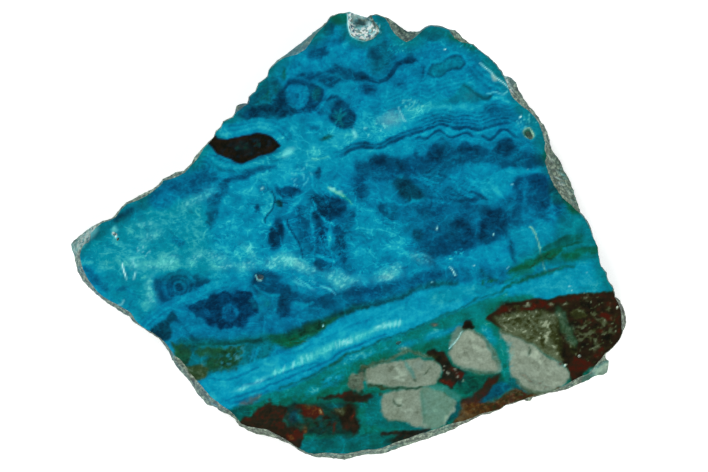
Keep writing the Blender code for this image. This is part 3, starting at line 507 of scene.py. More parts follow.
def paint_left(face):
    """The left end: a dark fringe under the upper edge, a dark corner below and faint contour lines."""
    fringe = [(-41.3, -0.6), (-36.6, 3.0), (-30.4, 6.2)]
    face.line(fringe, 1.7, 0.8, 0.85, taper=0.3, tone=0.3, green=0.4, fibre=0.3)
    face.line([(-37.8, 2.3), (-36.4, 3.2), (-34.6, 4.3)], 0.9, 0.4, 0.8, taper=0.5, tone=0.1, green=0.3)
    band = [(-32, 5.4), (-29.6, 8.4), (-26, 9.9), (-22.4, 10.4), (-20.6, 9), (-22.4, 7.6), (-27.6, 5.4), (-30, 4.2)]
    face.area(band, 0.7, 0.9, tone=0.3, green=0.06)
    face.spot(-26.2, 8, 2.4, 0.9, 15, 0.5, 0.8, tone=0.16, green=0.1)
    arcs = [(-31, 5.6), (-27.6, 3.6), (-25, 0.6), (-23.6, -3)]
    face.bands(arcs, [(k * 0.45, 0.72 if k % 2 else 0.54) for k in range(-6, 7)], 0.45)
    rim = [(-29.8, 6.2), (-28.8, 7.6), (-27.2, 8.6), (-23.4, 9.8)]
    face.bands(rim, [(-1.6, 0.5), (-1.2, 0.3), (-0.8, 0.42), (-0.4, 0.24), (0, 0.42), (0.4, 0.24), (0.8, 0.4), (1.2, 0.28)], 0.45)
    face.line([(-43.4, -4.1), (-32, -4.5), (-26, -4.3), (-20, -4.9)], 1.1, 0.7, 0.55, 1.4, 0.4, tone=0.82, green=0.4)
    face.line([(-42.4, -5), (-41.2, -6), (-38.6, -9)], 1.2, 0.4, 0.9, taper=0.6, tone=0.26, green=0.1)
    corner = [(-40, -6.5), (-35, -6), (-32, -7), (-31.6, -11), (-33.6, -13.4), (-36.8, -11.2)]
    face.area(corner, 1.0, 0.8, tone=0.54, green=0.34)
    face.blotches(-36, -8.4, 3.4, 2.6, -30, 1.2, 0.7, 204, tone=0.34, green=0.1)
    face.area([(-33.8, -6.2), (-31.4, -6.4), (-30.8, -11.4), (-32.8, -12), (-33.4, -9)], 0.8, 0.7, tone=0.68, green=0.4)


def paint_pools(face):
    """The lower left: deep pools with ringed eyes between bright blue belts."""
    face.area([(-31, -7.6), (-29, -6.4), (-26, -6.2), (-22.6, -7), (-21.6, -7.8), (-24, -9.2), (-28, -10.4), (-30.6, -9.8)], 0.6, tone=0.2)
    face.eye(-27.1, -8.2, [(0, 0.2), (0.45, 0.1), (0.9, 0.42), (1.25, 0.14), (1.55, 0.3), (1.9, 0.16), (2.3, 0.38), (2.7, 0.3), (3.0, 0.4)], 0.85)
    face.spot(-23.8, -7.7, 1.4, 0.6, 15, 0.3, 0.8, tone=0.07)
    belt = [(-33.4, -15.2), (-30.6, -12.8), (-27.4, -11.0), (-24, -9.8), (-21, -8.4), (-18, -7.6)]
    face.bands(belt, [(-0.9, 0.44), (-0.5, 0.56), (-0.2, 0.42), (0.15, 0.62), (0.5, 0.5), (0.9, 0.58), (1.3, 0.42)], 0.9)
    pool = [(-27, -12), (-25, -11), (-20.8, -9), (-17, -9), (-15.5, -9.8), (-14.8, -11), (-15, -12.5), (-17, -14.6), (-18.5, -14.3), (-20, -14.9), (-21.5, -14.5), (-23.5, -13), (-25, -12.4)]
    face.area(pool, 0.3, 0.97, 1.7, tone=0.04, green=0.0)
    face.area([(-28.4, -12), (-26, -11.3), (-25, -12.4), (-22.6, -14.2), (-24.6, -14.8), (-27, -15.6), (-28.6, -14)], 0.4, 0.8, tone=0.46)
    face.eye(-19, -12.2, [(0, 0.28), (0.45, 0.22), (0.7, 0.34), (0.9, 0.24), (1.15, 0.38), (1.4, 0.2), (1.7, 0.05)], 0.75)
    face.spot(-23.2, -12.5, 1.0, 0.6, 0, 0.3, 0.8, tone=0.28)
    face.area([(-31.8, -15.1), (-29.5, -13.4), (-28.1, -12.1), (-27.3, -13), (-28.4, -14.2), (-28.2, -15.8), (-29.6, -16.8)], 0.3, tone=0.1, green=0.25)
    face.line([(-27.6, -13.2), (-24.8, -16.4)], 0.5, 0.3, 0.8, tone=0.2)
    face.area([(-14.8, -5.7), (-12, -5.6), (-11, -7), (-11, -8.8), (-13, -9.4), (-15.4, -8.6)], 0.6, tone=0.2)
    face.line([(-15, -8), (-13.8, -8.9), (-12.4, -9.4), (-10.8, -9.5)], 0.35, 0.2, 0.7, tone=0.66, green=0.2)
    # A vug: its dark centre is painted shade, and the white fleck on its left rim is a painted highlight.
    face.spot(-14.1, -6.6, 0.85, 0.7, 0, 0.25, 0.95, tone=0.08, green=0.2, bare=1.0)
    face.line([(-14.8, -6.3), (-14.5, -7), (-13.9, -7.1)], 0.2, 0.1, 0.6, 0.2, milk=0.7)
    face.area([(-11, -8), (-9.4, -8.2), (-8.8, -10), (-9.2, -12.4), (-10.4, -13.4), (-11.6, -12), (-11, -10)], 0.5, 0.95, tone=0.12)
    face.speckle(-14.4, -10.4, 1.2, 1.6, 0, 8, 0.5, 61, 0.5, tone=0.5, green=0.4)
    face.area([(-8.6, -9), (-5, -9.8), (-2.6, -9.4), (-1.4, -10.4), (-2.4, -11.4), (-8, -10.6)], 0.5, 0.9, tone=0.2)
    face.line([(-8.4, -10.7), (-7.2, -11), (-5.8, -10.6)], 0.5, 0.3, 0.7, tone=0.62, green=0.2)
    face.area([(0, -7.9), (3, -7.8), (9, -7), (12, -5.8), (14.5, -5.5), (16, -6.6), (13, -7.4), (3, -10.8), (0, -11.4), (-3, -12), (-3, -9.8)], 0.6, 0.95, tone=0.26)
    face.spot(2.5, -8.8, 2.2, 0.7, 10, 0.4, 0.7, tone=0.18)
    shade = [(-27, -16.9), (-17, -16.9), (-13, -16.6), (-9, -15.4), (0, -11.9), (5, -10.9), (13, -8.0), (17, -7.5)]
    face.line(shade, 1.1, 0.5, 0.85, 1.2, tone=0.18, green=0.5)


def paint_wedge(face):
    """Dark malachite along the foot of the pools."""
    wedge = [(-28, -17.2), (-24, -17.2), (-19, -16.7), (-12, -16.2), (-12.4, -18.6), (-15, -20.2), (-21, -21.8), (-24, -22.8), (-26.4, -21.6)]
    face.area(wedge, 0.5, 0.95, tone=0.36, green=0.55)
    face.blotches(-20, -19, 8.0, 2.8, 8, 1.1, 0.8, 71, tone=0.56, green=0.35)
    for outline, tone in (
        ([(-24.4, -18.3), (-22, -18.2), (-19.6, -17.7), (-16.4, -17.3), (-17.2, -18.4), (-20, -19), (-22.8, -19.3)], 0.3),
        ([(-22.4, -19.8), (-20.4, -19.2), (-18.2, -19.1), (-16.8, -19.9), (-18.4, -21.2), (-20.6, -21.6), (-22.2, -21.1)], 0.24),
        ([(-28.4, -17), (-26.8, -17.4), (-25.4, -18.6), (-25.8, -20.4), (-26.8, -20.6), (-27.8, -19)], 0.3),
    ):
        face.area(outline, 0.4, 0.95, 2.2, tone=0.6 * tone, green=1.0, olive=0.25)
    face.blotches(-19.4, -19.6, 5.0, 2.2, 10, 0.7, 0.9, 72, tone=0.12, green=1.0, olive=0.35)
    face.blotches(-18.6, -19.2, 5.0, 2.0, 40, 0.6, 0.8, 73, tone=0.6, green=0.3)
    face.area([(-26.4, -20.8), (-24.6, -20.7), (-22.6, -20.8), (-22.2, -21.6), (-24.6, -22.8)], 0.3, 0.95, 1.8, tone=0.3, green=1.0, olive=0.8)
    face.streaks(-15, -19.4, 3.0, 1.2, 75, 0.5, 0.7, 76, tone=0.68, green=0.1)
    face.area([(-12.6, -16), (-9, -15.4), (-3, -13.3), (-0.6, -12.9), (-2.8, -14.1), (-8.6, -17.8), (-12, -17)], 0.4, 0.95, 1.4, tone=0.26, green=1.0)
    face.area([(-8, -15), (-2, -13.1), (-4.4, -14.8), (-6.4, -15.8)], 0.35, 0.9, 1.4, tone=0.03, green=1.0, olive=0.15)
    face.streaks(-8.6, -16.5, 3.6, 1.3, 12, 0.35, 0.8, 74, tone=0.5, green=0.85)
    face.streaks(-8.8, -16.9, 3.0, 0.9, 8, 0.3, 0.9, 78, tone=0.08, green=1.0, olive=0.4)
    shade = [(-27, -17.9), (-18, -16.9), (-13, -16.6), (-9, -15.5), (-5, -13.7), (0, -12.1), (3, -11.5)]
    face.line(shade, 0.5, 0.3, 0.8, 1.0, 0.2, tone=0.1, green=0.75)
    face.spot(-4, -14.3, 0.13, 0.12, 0, 0.1, 0.9, milk=0.8)


def paint_belts(face):
    """The bright cyan belts that cross the slab under the pools, with thin blue and green lines in them."""
    top = [(-23.6, -23.6), (-22, -22.2), (-19, -21.9), (-16, -20.8), (-14, -19.6), (-11, -18.7), (-8.2, -18.2), (-6, -16.8), (-3.6, -15.2), (0, -12.9), (3, -11.9), (8, -10.2), (12, -8.8), (16, -7.9), (21, -8.3), (25, -7.4)]
    foot = [(27, -8.4), (24, -9.6), (20, -11), (14, -13.4), (8, -15.8), (4, -17.2), (0, -18.8), (-4, -20.9), (-8, -22.9), (-12, -24.4), (-16, -25.8), (-18.6, -27.2), (-20.6, -27.2), (-22.6, -25.4)]
    face.area(top + foot, 0.4, tone=0.64, green=0.08, fibre=0.25)
    face.area([(13, -9.3), (18, -8.2), (22, -7.8), (23, -9), (17, -10.4), (14, -10.6)], 0.6, 0.8, tone=0.56, green=0.3)
    face.area([(0, -13.2), (6, -11.2), (12, -9.4), (16, -9.3), (12, -11.6), (6, -13.2), (1, -15)], 0.6, 0.8, tone=0.64)
    face.streaks(9, -11.4, 9.5, 1.8, 22, 0.45, 0.45, 81, tone=0.52)
    tail = [(-19.6, -25.4), (-16.9, -24.6), (-13.8, -23)]
    comb = [(-11.7, -21.8), (-7.6, -20), (-5, -18.7), (-2, -17.5), (-0.2, -16.8), (2.2, -15.9), (5.8, -14.4), (8.1, -13.9)]
    face.line(tail + comb, 1.6, 0.7, 0.6, 1.0, 0.4, tone=0.76)
    face.line(comb, 1.2, 0.5, 0.7, 1.4, 0.4, tone=0.92, green=0.2)
    for k, (x, y) in enumerate(rounded(comb, False)[::2]):
        strength = 0.5 + 0.3 * math.sin(0.7 * k) + 0.15 * math.sin(7.0 * k)
        face.spot(x, y, 0.16, 0.5, 12 * math.sin(5.0 * k), 0.12, strength, 0.6, tone=1.0, milk=0.45)
    for x, y, long, tall in ((-0.2, -16.8, 1.2, 0.7), (5.5, -14.4, 2.0, 0.7), (-16.9, -24.4, 1.4, 0.4), (-14.2, -23.2, 1.4, 0.4)):
        face.spot(x, y, 0.7 * long, 0.5 * tall, 22, 0.3, 0.5, 1.4, tone=1.0, milk=0.3)
        face.blotches(x, y, long, tall, 22, 0.4, 0.8, 87, tone=1.0, milk=0.5)
    for line, tone in (
        ([(-22.4, -22.8), (-19.6, -22.9), (-16, -21.8), (-14.4, -21.0)], 0.36),
        ([(-16.6, -23.9), (-13.2, -23.1), (-11.2, -22.2), (-8, -21.0), (-5, -20.3)], 0.44),
        ([(-12.4, -23.8), (-9, -22.4), (-6, -21.2), (-3.4, -19.9), (-1, -18.5), (2, -17.2), (6, -15.7)], 0.36),
        ([(-19.6, -26.4), (-15, -24.8), (-11.4, -23.5)], 0.4),
        ([(-18.6, -26.9), (-16, -25.9), (-13, -24.9)], 0.34),
        ([(-4, -16.4), (-1, -15), (2, -13.8), (6, -12.6)], 0.5),
        ([(-10.6, -18.9), (-8, -18.6), (-5.6, -17.2)], 0.5),
    ):
        face.line(line, 0.35, 0.2, 0.85, taper=0.4, tone=tone)
    face.area([(-15, -25.9), (-8, -23.6), (3, -17.8), (8, -15.9), (20, -10.9), (25, -9.2), (24.4, -10.6), (22, -12.6), (16, -14.8), (14, -17.4), (9, -18), (2.6, -20.2), (0.6, -22), (-0.4, -24), (-4, -25.6), (-8, -26.4), (-12, -26.4)], 0.4, tone=0.46, green=0.78, fibre=0.5)
    vein = [(-11, -24.2), (-6, -22.3), (2, -18.0), (12, -14.1), (26.5, -7.5)]
    face.line(vein, 0.34, 0.2, 0.6, 1.2, tone=0.2, green=0.9)
    face.line([(-3, -20.7), (0, -19.0), (2, -18.0)], 0.5, 0.3, 0.5, 1.4, tone=0.3, green=1.0, iron=0.2, rust=0.5)
    for x, y, long, tall in ((0.8, -19.5, 1.6, 0.5), (13.8, -15.9, 1.8, 0.8), (9.6, -17.2, 1.4, 0.5), (-2.6, -23.2, 2.2, 0.8), (3, -19.2, 1.4, 0.4)):
        face.spot(x, y, long, tall, 22, 0.4, 0.75, 1.0, tone=0.66, green=0.15)
    face.blotches(4, -19.4, 12.0, 2.8, 24, 0.7, 0.6, 83, tone=0.62, green=0.4)
    face.blotches(-2, -22, 7.0, 2.4, 24, 0.6, 0.7, 86, tone=0.34, green=0.9)
    face.area([(21.4, -13), (24.8, -10.7), (26.4, -10.1), (25, -9.9), (22.6, -11)], 0.4, 0.85, tone=0.42, green=0.85)
    face.line([(22.4, -12.8), (24, -11.4), (27, -10.1), (29, -9.9)], 1.2, 0.4, 0.85, tone=0.34, green=0.95)


def paint_right(face):
    """The right side: deep pools with pale seams, and a bright streaky belt above them."""
    face.area([(16, 8.6), (18, 11.2), (22, 11.3), (29, 10.7), (27, 9), (26, 6.4), (23, 5.4), (19, 6.6)], 1.0, 0.9, tone=0.58)
    face.line([(19.4, 11), (30.6, 10.4)], 0.9, 0.4, 0.8, tone=0.62)
    face.streaks(15.5, 8.4, 9.0, 2.6, -24, 0.5, 0.85, 91, 12.0, tone=0.24)
    face.streaks(15.5, 8.0, 9.0, 2.6, -22, 0.35, 0.8, 92, 12.0, tone=0.64)
    face.streaks(22, 8.2, 4.6, 2.2, -32, 0.3, 0.7, 95, 10.0, tone=0.8)
    face.line([(23.2, 8.2), (23.9, 7.2), (24.3, 6.2)], 0.9, 0.4, 0.65, 1.4, 0.5, tone=0.9)
    face.line([(19.6, 7.2), (20.8, 6.5), (22, 5.9)], 0.7, 0.25, 0.9, taper=0.6, tone=0.08)
    face.line([(16.6, 5.9), (19, 5.6), (21, 5.9)], 0.8, 0.4, 0.9, 1.2, 0.5, tone=0.08, green=0.1)
    corner = [(27, 9.6), (31.6, 9.7), (33.4, 7.2), (35, 4.8), (33, 4.2), (28, 5.2), (26.9, 7)]
    face.area(corner, 0.6, tone=0.24, green=0.05)
    face.area([(25.6, 5.4), (28, 5.6), (33, 4.6), (35, 4.4), (34, 2.6), (28, 2), (25.6, 2)], 0.8, 0.9, tone=0.34)
    for x, y, long, tall, turn, tone in (
        (30.4, 8.5, 1.5, 1.6, 0, 0.07), (27.1, 8.2, 0.45, 1.9, 5, 0.14), (31.4, 5.6, 0.9, 1.0, 0, 0.1),
        (29.4, 5.2, 1.2, 0.9, 0, 0.22), (26.8, 3.7, 0.6, 1.3, -5, 0.16), (33.6, 3.8, 0.8, 0.5, -20, 0.2),
        (31.6, 2.9, 1.4, 0.5, -25, 0.24), (18.9, 4, 1.0, 0.8, 0, 0.12), (13.3, 5.0, 0.4, 1.0, 0, 0.1),
        (15, 4.2, 0.6, 1.2, 10, 0.2), (11.6, 4.3, 0.8, 1.3, -20, 0.22), (13.9, 2.4, 1.2, 1.0, 0, 0.2),
    ):
        face.spot(x, y, long, tall, turn, 0.5, 0.85, 2.2, tone=tone)
    face.spot(33, 7, 0.9, 1.6, 20, 0.5, 0.8, 1.2, tone=0.16, green=0.55)
    face.spot(33.8, 5.6, 1.2, 0.9, 0, 0.5, 0.6, tone=0.18, green=0.6)
    for seam in (
        [(28, 9.9), (28.2, 8), (28, 6), (28.1, 3), (28.4, 1)], [(32.7, 7), (32.4, 5), (33, 3)], [(25.9, 5), (25.8, 3), (26.2, 1.2)],
        [(28.6, 4.7), (30.4, 3.9), (32.4, 2.9), (34.6, 2.5)], [(29, 1.4), (30.6, 2.4), (32.6, 2.1)],
    ):
        face.line(seam, 0.35, 0.25, 0.6, 1.2, tone=0.5)
    face.streaks(31.5, 2.6, 5.0, 2.4, -24, 0.4, 0.6, 94, tone=0.58, green=0.1)
    face.area([(26.5, 1.4), (33, 1.6), (35, 0.6), (30.4, -1.6), (28, -3), (26, -1)], 0.9, 0.8, tone=0.56, green=0.15)
    face.area([(34, 3.4), (37, 3.8), (39.4, -0.6), (36, 0.2), (33, 0)], 0.8, 0.8, tone=0.46, green=0.5)
    face.area([(13, 5), (16, 5), (24, 4.8), (26, 3), (25, 0), (21, -2), (16, -4), (12.6, -4.4), (11, -1), (12, 3)], 0.8, 0.85, tone=0.28)
    face.area([(21, 3.4), (22.5, 4.4), (24.5, 4), (25.3, 2.6), (25, 1), (23.5, -0.3), (22, -1.2), (20.8, -0.2)], 0.6, 0.95, 2.0, tone=0.1)
    face.area([(15.4, 0.6), (16.5, 2.2), (18.4, 2.6), (19.9, 1.2), (20, -1.8), (18, -2), (14, -3.8), (12.5, -3.2), (12.3, -1.6)], 0.6, 0.95, 2.0, tone=0.12)
    face.blotches(18.6, 0.6, 6.4, 3.4, 20, 0.9, 0.5, 98, tone=0.24)
    face.spot(11, 0, 0.8, 1.0, 0, 0.4, 0.8, 1.5, tone=0.08, green=0.2)
    face.area([(14, -4), (17, -3), (24, -0.9), (26, -1.2), (26, -4), (22, -5.4), (16, -5)], 0.8, 0.9, tone=0.55)
    for x, y, long, tall in ((17.8, -2.5, 0.9, 0.4), (16.2, -3.5, 0.8, 0.35), (20.2, -2.3, 0.6, 0.2)):
        face.blotches(x, y, 1.5 * long, 1.7 * tall, 15, 0.35, 0.9, 100, tone=0.95, green=0.3)
    face.line([(25.9, -0.9), (26.2, -2.4), (26.6, -3.9)], 0.8, 0.35, 0.85, 1.2, 0.4, tone=0.18, green=0.2)
    face.area([(15.4, -6.2), (20, -5.2), (25, -5.4), (24, -7), (16, -7.2)], 0.7, 0.8, tone=0.38, green=0.1)
    face.line([(21, -5.6), (22.6, -6.6), (24.6, -7.3)], 0.6, 0.3, 0.8, 1.2, tone=0.2, green=0.3)
    face.blotches(22.4, -7.4, 2.6, 0.9, 8, 0.6, 0.95, 106, tone=0.26, green=0.95)
    for x, y, long, tall, turn in (
        (23.1, 0.3, 0.2, 0.18, 0), (26.2, 8.1, 0.14, 0.14, 0), (14.2, 1.4, 0.13, 0.35, 0), (20, -4.7, 0.16, 0.14, 0),
        (25.5, -5, 0.18, 0.1, 60), (38, -5.9, 0.15, 0.15, 0), (35.3, -7.9, 0.2, 0.13, 20), (35.6, -8.7, 0.24, 0.14, -40),
        (13.4, -7.4, 0.16, 0.12, -30), (28.6, 11, 0.13, 0.12, 0),
    ):
        face.spot(x, y, 0.7 * long, 0.7 * tall, turn, 0.1, 0.8, milk=0.8)
    face.line([(16.2, -4.9), (16.7, -5.8), (17.1, -6.3)], 0.2, 0.1, 0.8, 0.5, 0.4, milk=0.8)
    face.line([(29, 1.5), (29.8, 0.8), (30.3, -0.5), (30.8, -3.4), (31.6, -5.7)], 0.26, 0.12, 0.85, 0.6, tone=0.95, green=0.6, olive=0.35)
    face.line([(32.6, 13), (34.2, 9.4), (36.4, 5)], 3.0, 0.6, 0.85, tone=0.18, green=1.0, bare=0.3)
    # This milk also turns the upper rim here into crystal facets with painted glints.
    face.blotches(34.6, 9, 6, 1.5, -63, 0.4, 0.9, 120, milk=0.5, tone=0.8)


def paint_streaks(face):
    """Malachite streaks that run up to the right edge."""
    face.area([(27, -5.6), (32, -1.4), (36.6, 0.3), (39.3, -0.3), (40.2, -3), (38, -4.1), (32, -4.6), (29, -5.8)], 0.7, 0.9, tone=0.42, green=0.62)
    face.streaks(34.6, -1.2, 5.0, 1.6, 14, 0.5, 0.9, 108, tone=0.22, green=0.85)
    for line, width, tone, green in (
        ([(31.4, -2), (33.4, -1.2), (35.4, -0.7), (37.4, 0)], 1.1, 0.24, 0.7),
        ([(25.8, -5.9), (27.4, -5.1), (29, -4.5), (30.5, -3.9), (32, -3), (34, -2.3)], 1.5, 0.2, 1.0),
        ([(34.4, -3.3), (36.6, -2.9), (38.4, -2.3), (40.2, -2)], 1.4, 0.22, 0.95),
        ([(34, -3.9), (36.5, -3.8), (39, -3.4)], 0.3, 0.3, 0.8),
        ([(24, -8.9), (26, -7.8), (28, -6.9), (30, -6.3), (31.6, -5.8), (33.6, -5.2), (36, -4.8)], 0.6, 0.24, 0.95),
        ([(25, -7.3), (27, -6.4), (29.4, -5.6)], 0.8, 0.42, 0.8),
    ):
        face.line(line, width, 0.35, 0.9, 1.6, 0.5, tone=tone, green=green)
    face.streaks(30.6, -3.9, 4.4, 0.9, 26, 0.35, 0.8, 109, tone=0.08, green=1.0, olive=0.3)
    face.spot(33, -5.2, 0.7, 0.22, 12, 0.2, 0.8, 1.4, iron=0.8, rust=0.4)
    face.spot(39, -8.3, 2.4, 0.5, 5, 0.5, 0.5, tone=0.5, green=0.4)


def paint_gangue(face):
    """The foot of the slab: teal cement between ironstone and quartz."""
    cement = [(-21, -29.4), (-18.5, -27.6), (-14, -26.4), (-8, -25.6), (-2, -23.8), (1, -20.6), (6, -18.6), (14, -16.6), (18, -14.2), (22, -12.8), (27, -14), (34, -18.4), (42, -18), (43, -25), (34, -29), (15, -36), (4, -39), (-6, -39), (-14, -37), (-20, -33)]
    face.area(cement, 0.5, tone=0.38, green=0.88, fibre=0.6)
    face.blotches(-2, -27, 16, 6, 15, 1.8, 0.8, 111, tone=0.3, green=0.9)
    face.blotches(2, -29, 13, 5, 15, 2.2, 0.8, 112, tone=0.32, green=0.6)
    face.blotches(-7, -25, 4.5, 1.4, 20, 1.6, 0.8, 117, tone=0.62, green=0.4)
    face.area([(-9.4, -33), (-6, -32.6), (4, -31.8), (7, -34), (6, -38), (-2, -39), (-9, -38)], 0.5, 0.8, tone=0.28, green=0.6)
    face.area([(3.4, -25.6), (5.4, -25.2), (5.5, -28), (5.8, -29.6), (4, -30.4), (2.8, -28.4)], 0.4, 0.9, tone=0.38, green=0.7)
    face.line([(5, -30.1), (7.4, -30), (10, -30.6), (12.4, -30.8)], 1.4, 0.3, 0.9, tone=0.34, green=0.7)
    face.area([(4, -32), (8, -31.6), (11, -31.4), (8, -32.9), (4, -33.8)], 0.4, 0.8, tone=0.24, green=0.75)
    face.line([(5.2, -31.7), (7, -31.4), (9, -31.6), (13, -30.8)], 0.8, 0.2, 0.95, 1.0, 0.4, iron=1.0, rust=0.14)
    face.spot(9.6, -32.4, 3.6, 0.8, 10, 0.3, 0.9, 1.5, iron=1.0, rust=0.06)
    face.blotches(9.6, -32.4, 4.0, 1.0, 10, 0.5, 0.7, 119, iron=1.0, rust=0.5)
    face.spot(8.0, -17.1, 0.8, 0.6, 20, 0.2, 0.9, bare=1.0)
    face.line([(21.2, -14.2), (24.6, -18.6), (25.4, -24)], 2.6, 0.5, 0.95, tone=0.50, green=0.85)
    face.spot(22.3, -15.8, 1.6, 0.6, -50, 0.4, 0.9, tone=0.64, green=0.3)
    face.area([(17.8, -21.8), (20, -21.9), (24, -22), (25, -23.6), (22, -24.2), (19.4, -25), (17.6, -24.4)], 0.4, 0.95, 1.6, tone=0.14, green=0.85)
    face.area([(26, -22.6), (27.4, -23.8), (29, -24.8), (27, -24.8), (25.6, -24.2)], 0.3, 0.9, tone=0.2, green=0.6)
    face.area([(20.4, -26.8), (23.4, -23.8), (25, -23.4), (25.6, -24.6), (22.6, -26.6)], 0.35, 0.95, 1.4, tone=0.2, green=0.3)
    face.area([(18, -26.2), (20, -25.2), (21.4, -24), (22.2, -22.8), (24, -22.4), (23.6, -23.4), (21.4, -26.2), (18, -27.6)], 0.3, 0.95, 1.6, iron=1.0, rust=0.36)
    strip = [(17, -29.6), (18.4, -26.8), (20.8, -26.6), (22.6, -26.8), (24.2, -26), (26.4, -24.3), (28, -24.7), (31, -24.9), (34, -24.2), (38, -25), (32, -28), (22, -32.4), (17, -34)]
    face.area(strip, 0.25, 0.97, 1.4, iron=1.0, rust=0.62, tone=0.34, olive=0.45)
    face.blotches(21, -27.6, 4.6, 1.8, 15, 0.7, 0.8, 115, rust=0.7, olive=0.15)
    face.blotches(25, -26.4, 7.0, 1.8, 20, 0.6, 0.8, 116, rust=0.2, olive=0.65)
    face.blotches(25, -26.4, 7.0, 1.8, 20, 0.35, 0.5, 118, rust=0.5, olive=0.1)
    face.blotches(27, -25.8, 6.0, 1.5, 22, 0.6, 0.8, 126, rust=0.3, olive=0.7, tone=0.15)
    face.blotches(27, -25.6, 6.0, 1.2, 22, 0.6, 0.7, 127, rust=0.46, olive=0.0)
    face.area([(16.6, -27), (17.8, -26.8), (17.6, -28.6), (15.4, -30.2)], 0.3, 0.9, tone=0.18, green=0.6, iron=0.1)


def paint_ironstone(face):
    """The ironstone at the lower left: dark red and black-brown patches with tan flecks, set in dark teal."""
    dark = [(-9.8, -27), (-7, -26.8), (0, -26.6), (1.6, -28), (1.6, -31), (0, -32), (-4, -31.8), (-9, -31.4)]
    face.area(dark, 0.5, 0.95, 1.4, tone=0.14, green=0.85, iron=0.6, rust=0.05)
    face.blotches(-4.6, -29.4, 5.4, 2.6, 0, 0.8, 0.9, 121, iron=1.0, rust=0.14)
    face.blotches(-3.6, -29.8, 5.4, 2.6, 20, 0.9, 0.7, 123, tone=0.16, iron=0.4, green=0.6)
    for outline, rust in (
        ([(-18.6, -30.6), (-16, -28.4), (-15, -27.8), (-13.6, -27.2), (-12, -26.8), (-10, -26.9), (-9.7, -28.4), (-9.8, -30.2), (-8, -30.8), (-7.4, -32.2), (-8.2, -35), (-10.6, -36), (-13, -35), (-17, -33)], 0.24),
        ([(-8.6, -27.3), (-7.2, -26.9), (-6, -27.4), (-4.4, -27.6), (-3.8, -28.4), (-4.6, -28.9), (-5.6, -29.3), (-6.8, -28.8)], 0.5),
        ([(-5, -26), (-3, -25.5), (-1.6, -25.1), (0, -24.6), (1.6, -25), (3.2, -24.8), (3.6, -25.4), (2.4, -26.4), (0.6, -26.8), (-2.4, -26)], 0.22),
        ([(-1.8, -27.2), (0, -26.8), (1.2, -28), (1.6, -30), (1.1, -31.4), (-0.2, -31), (-1.4, -30), (-2, -28.6)], 0.14),
    ):
        face.area(outline, 0.3, 0.97, 2.0, iron=1.0, rust=rust, tone=0.2)
    for x, y, long, tall, turn, rust in (
        (-14, -27.9, 1.1, 0.5, 20, 0.46), (-11.6, -27.8, 1.2, 0.6, 0, 0.34), (-12, -29.2, 1.9, 0.4, 5, 0.4),
        (-13.2, -29.8, 1.8, 0.4, -5, 0.06), (-13.4, -28.3, 0.5, 0.3, 0, 0.0), (-10.8, -30.2, 0.8, 0.5, 0, 0.42),
        (-15.9, -29.2, 0.6, 0.3, 20, 0.5), (-8, -31.6, 0.8, 0.8, 0, 0.52), (-6.9, -31.2, 0.5, 0.6, 20, 0.9),
        (-9.2, -32.2, 0.8, 0.5, -30, 0.7), (-5.7, -28.2, 1.2, 0.6, 0, 0.54), (-4.3, -28.2, 0.5, 0.4, 50, 0.96),
        (-6.2, -27.3, 0.8, 0.25, 0, 0.8), (-7.9, -27.4, 0.5, 0.4, 0, 0.2), (-2.4, -30.7, 0.3, 0.7, -10, 0.7),
        (0.8, -28.6, 0.3, 0.8, -10, 0.7), (0.4, -30.4, 0.8, 0.6, 0, 0.36),
        (-1.1, -25.3, 1.0, 0.3, 15, 0.44), (1.2, -25.8, 1.4, 0.4, 0, 0.12), (-3.4, -26, 0.9, 0.25, 10, 0.1),
    ):
        face.spot(x, y, long, tall, turn, 0.3, 0.85, 1.5, rust=rust, iron=0.95)
    face.blotches(-10, -29, 8, 3, -10, 0.7, 0.7, 122, rust=0.08)
    face.blotches(-12, -29.4, 6, 2.4, 0, 0.6, 0.7, 124, rust=0.42)
    face.blotches(-9, -29.2, 8, 3, 0, 0.35, 0.5, 125, rust=0.6)
    face.spot(-1.3, -28, 0.8, 0.8, 0, 0.4, 0.8, 1.5, olive=0.8, tone=0.5)
    face.spot(-6.4, -27.2, 0.9, 0.3, 0, 0.3, 0.6, 1.5, olive=0.9, tone=0.5)
    face.spot(-7, -30.9, 0.7, 0.4, -20, 0.3, 0.6, 1.5, olive=0.9, tone=0.66)
    face.spot(-8.6, -28.9, 0.7, 1.0, 0, 0.3, 0.95, tone=0.1, green=0.5, iron=0.2)
    face.spot(-7.6, -29.3, 0.45, 0.8, 30, 0.35, 0.9, tone=0.34, green=0.6, iron=0.0)
    face.spot(-2.2, -27.1, 1.2, 0.4, 0, 0.3, 0.9, tone=0.26, green=0.6, iron=0.0)
    face.line([(-17.4, -26.9), (-15.8, -26.3), (-14.2, -25.4)], 0.9, 0.4, 0.7, 1.6, 0.4, olive=0.4, tone=0.6, iron=0.8, rust=0.84)
    face.spot(-12.6, -26.3, 0.3, 0.25, 0, 0.2, 0.7, iron=0.9, rust=0.6)
    face.area([(-19, -28.2), (-17.4, -27.3), (-15.8, -27.6), (-17, -29.2)], 0.3, 0.9, tone=0.18, green=0.7)
    face.spot(13.8, -14.1, 0.6, 0.3, 10, 0.25, 0.8, iron=0.8, rust=1.0)


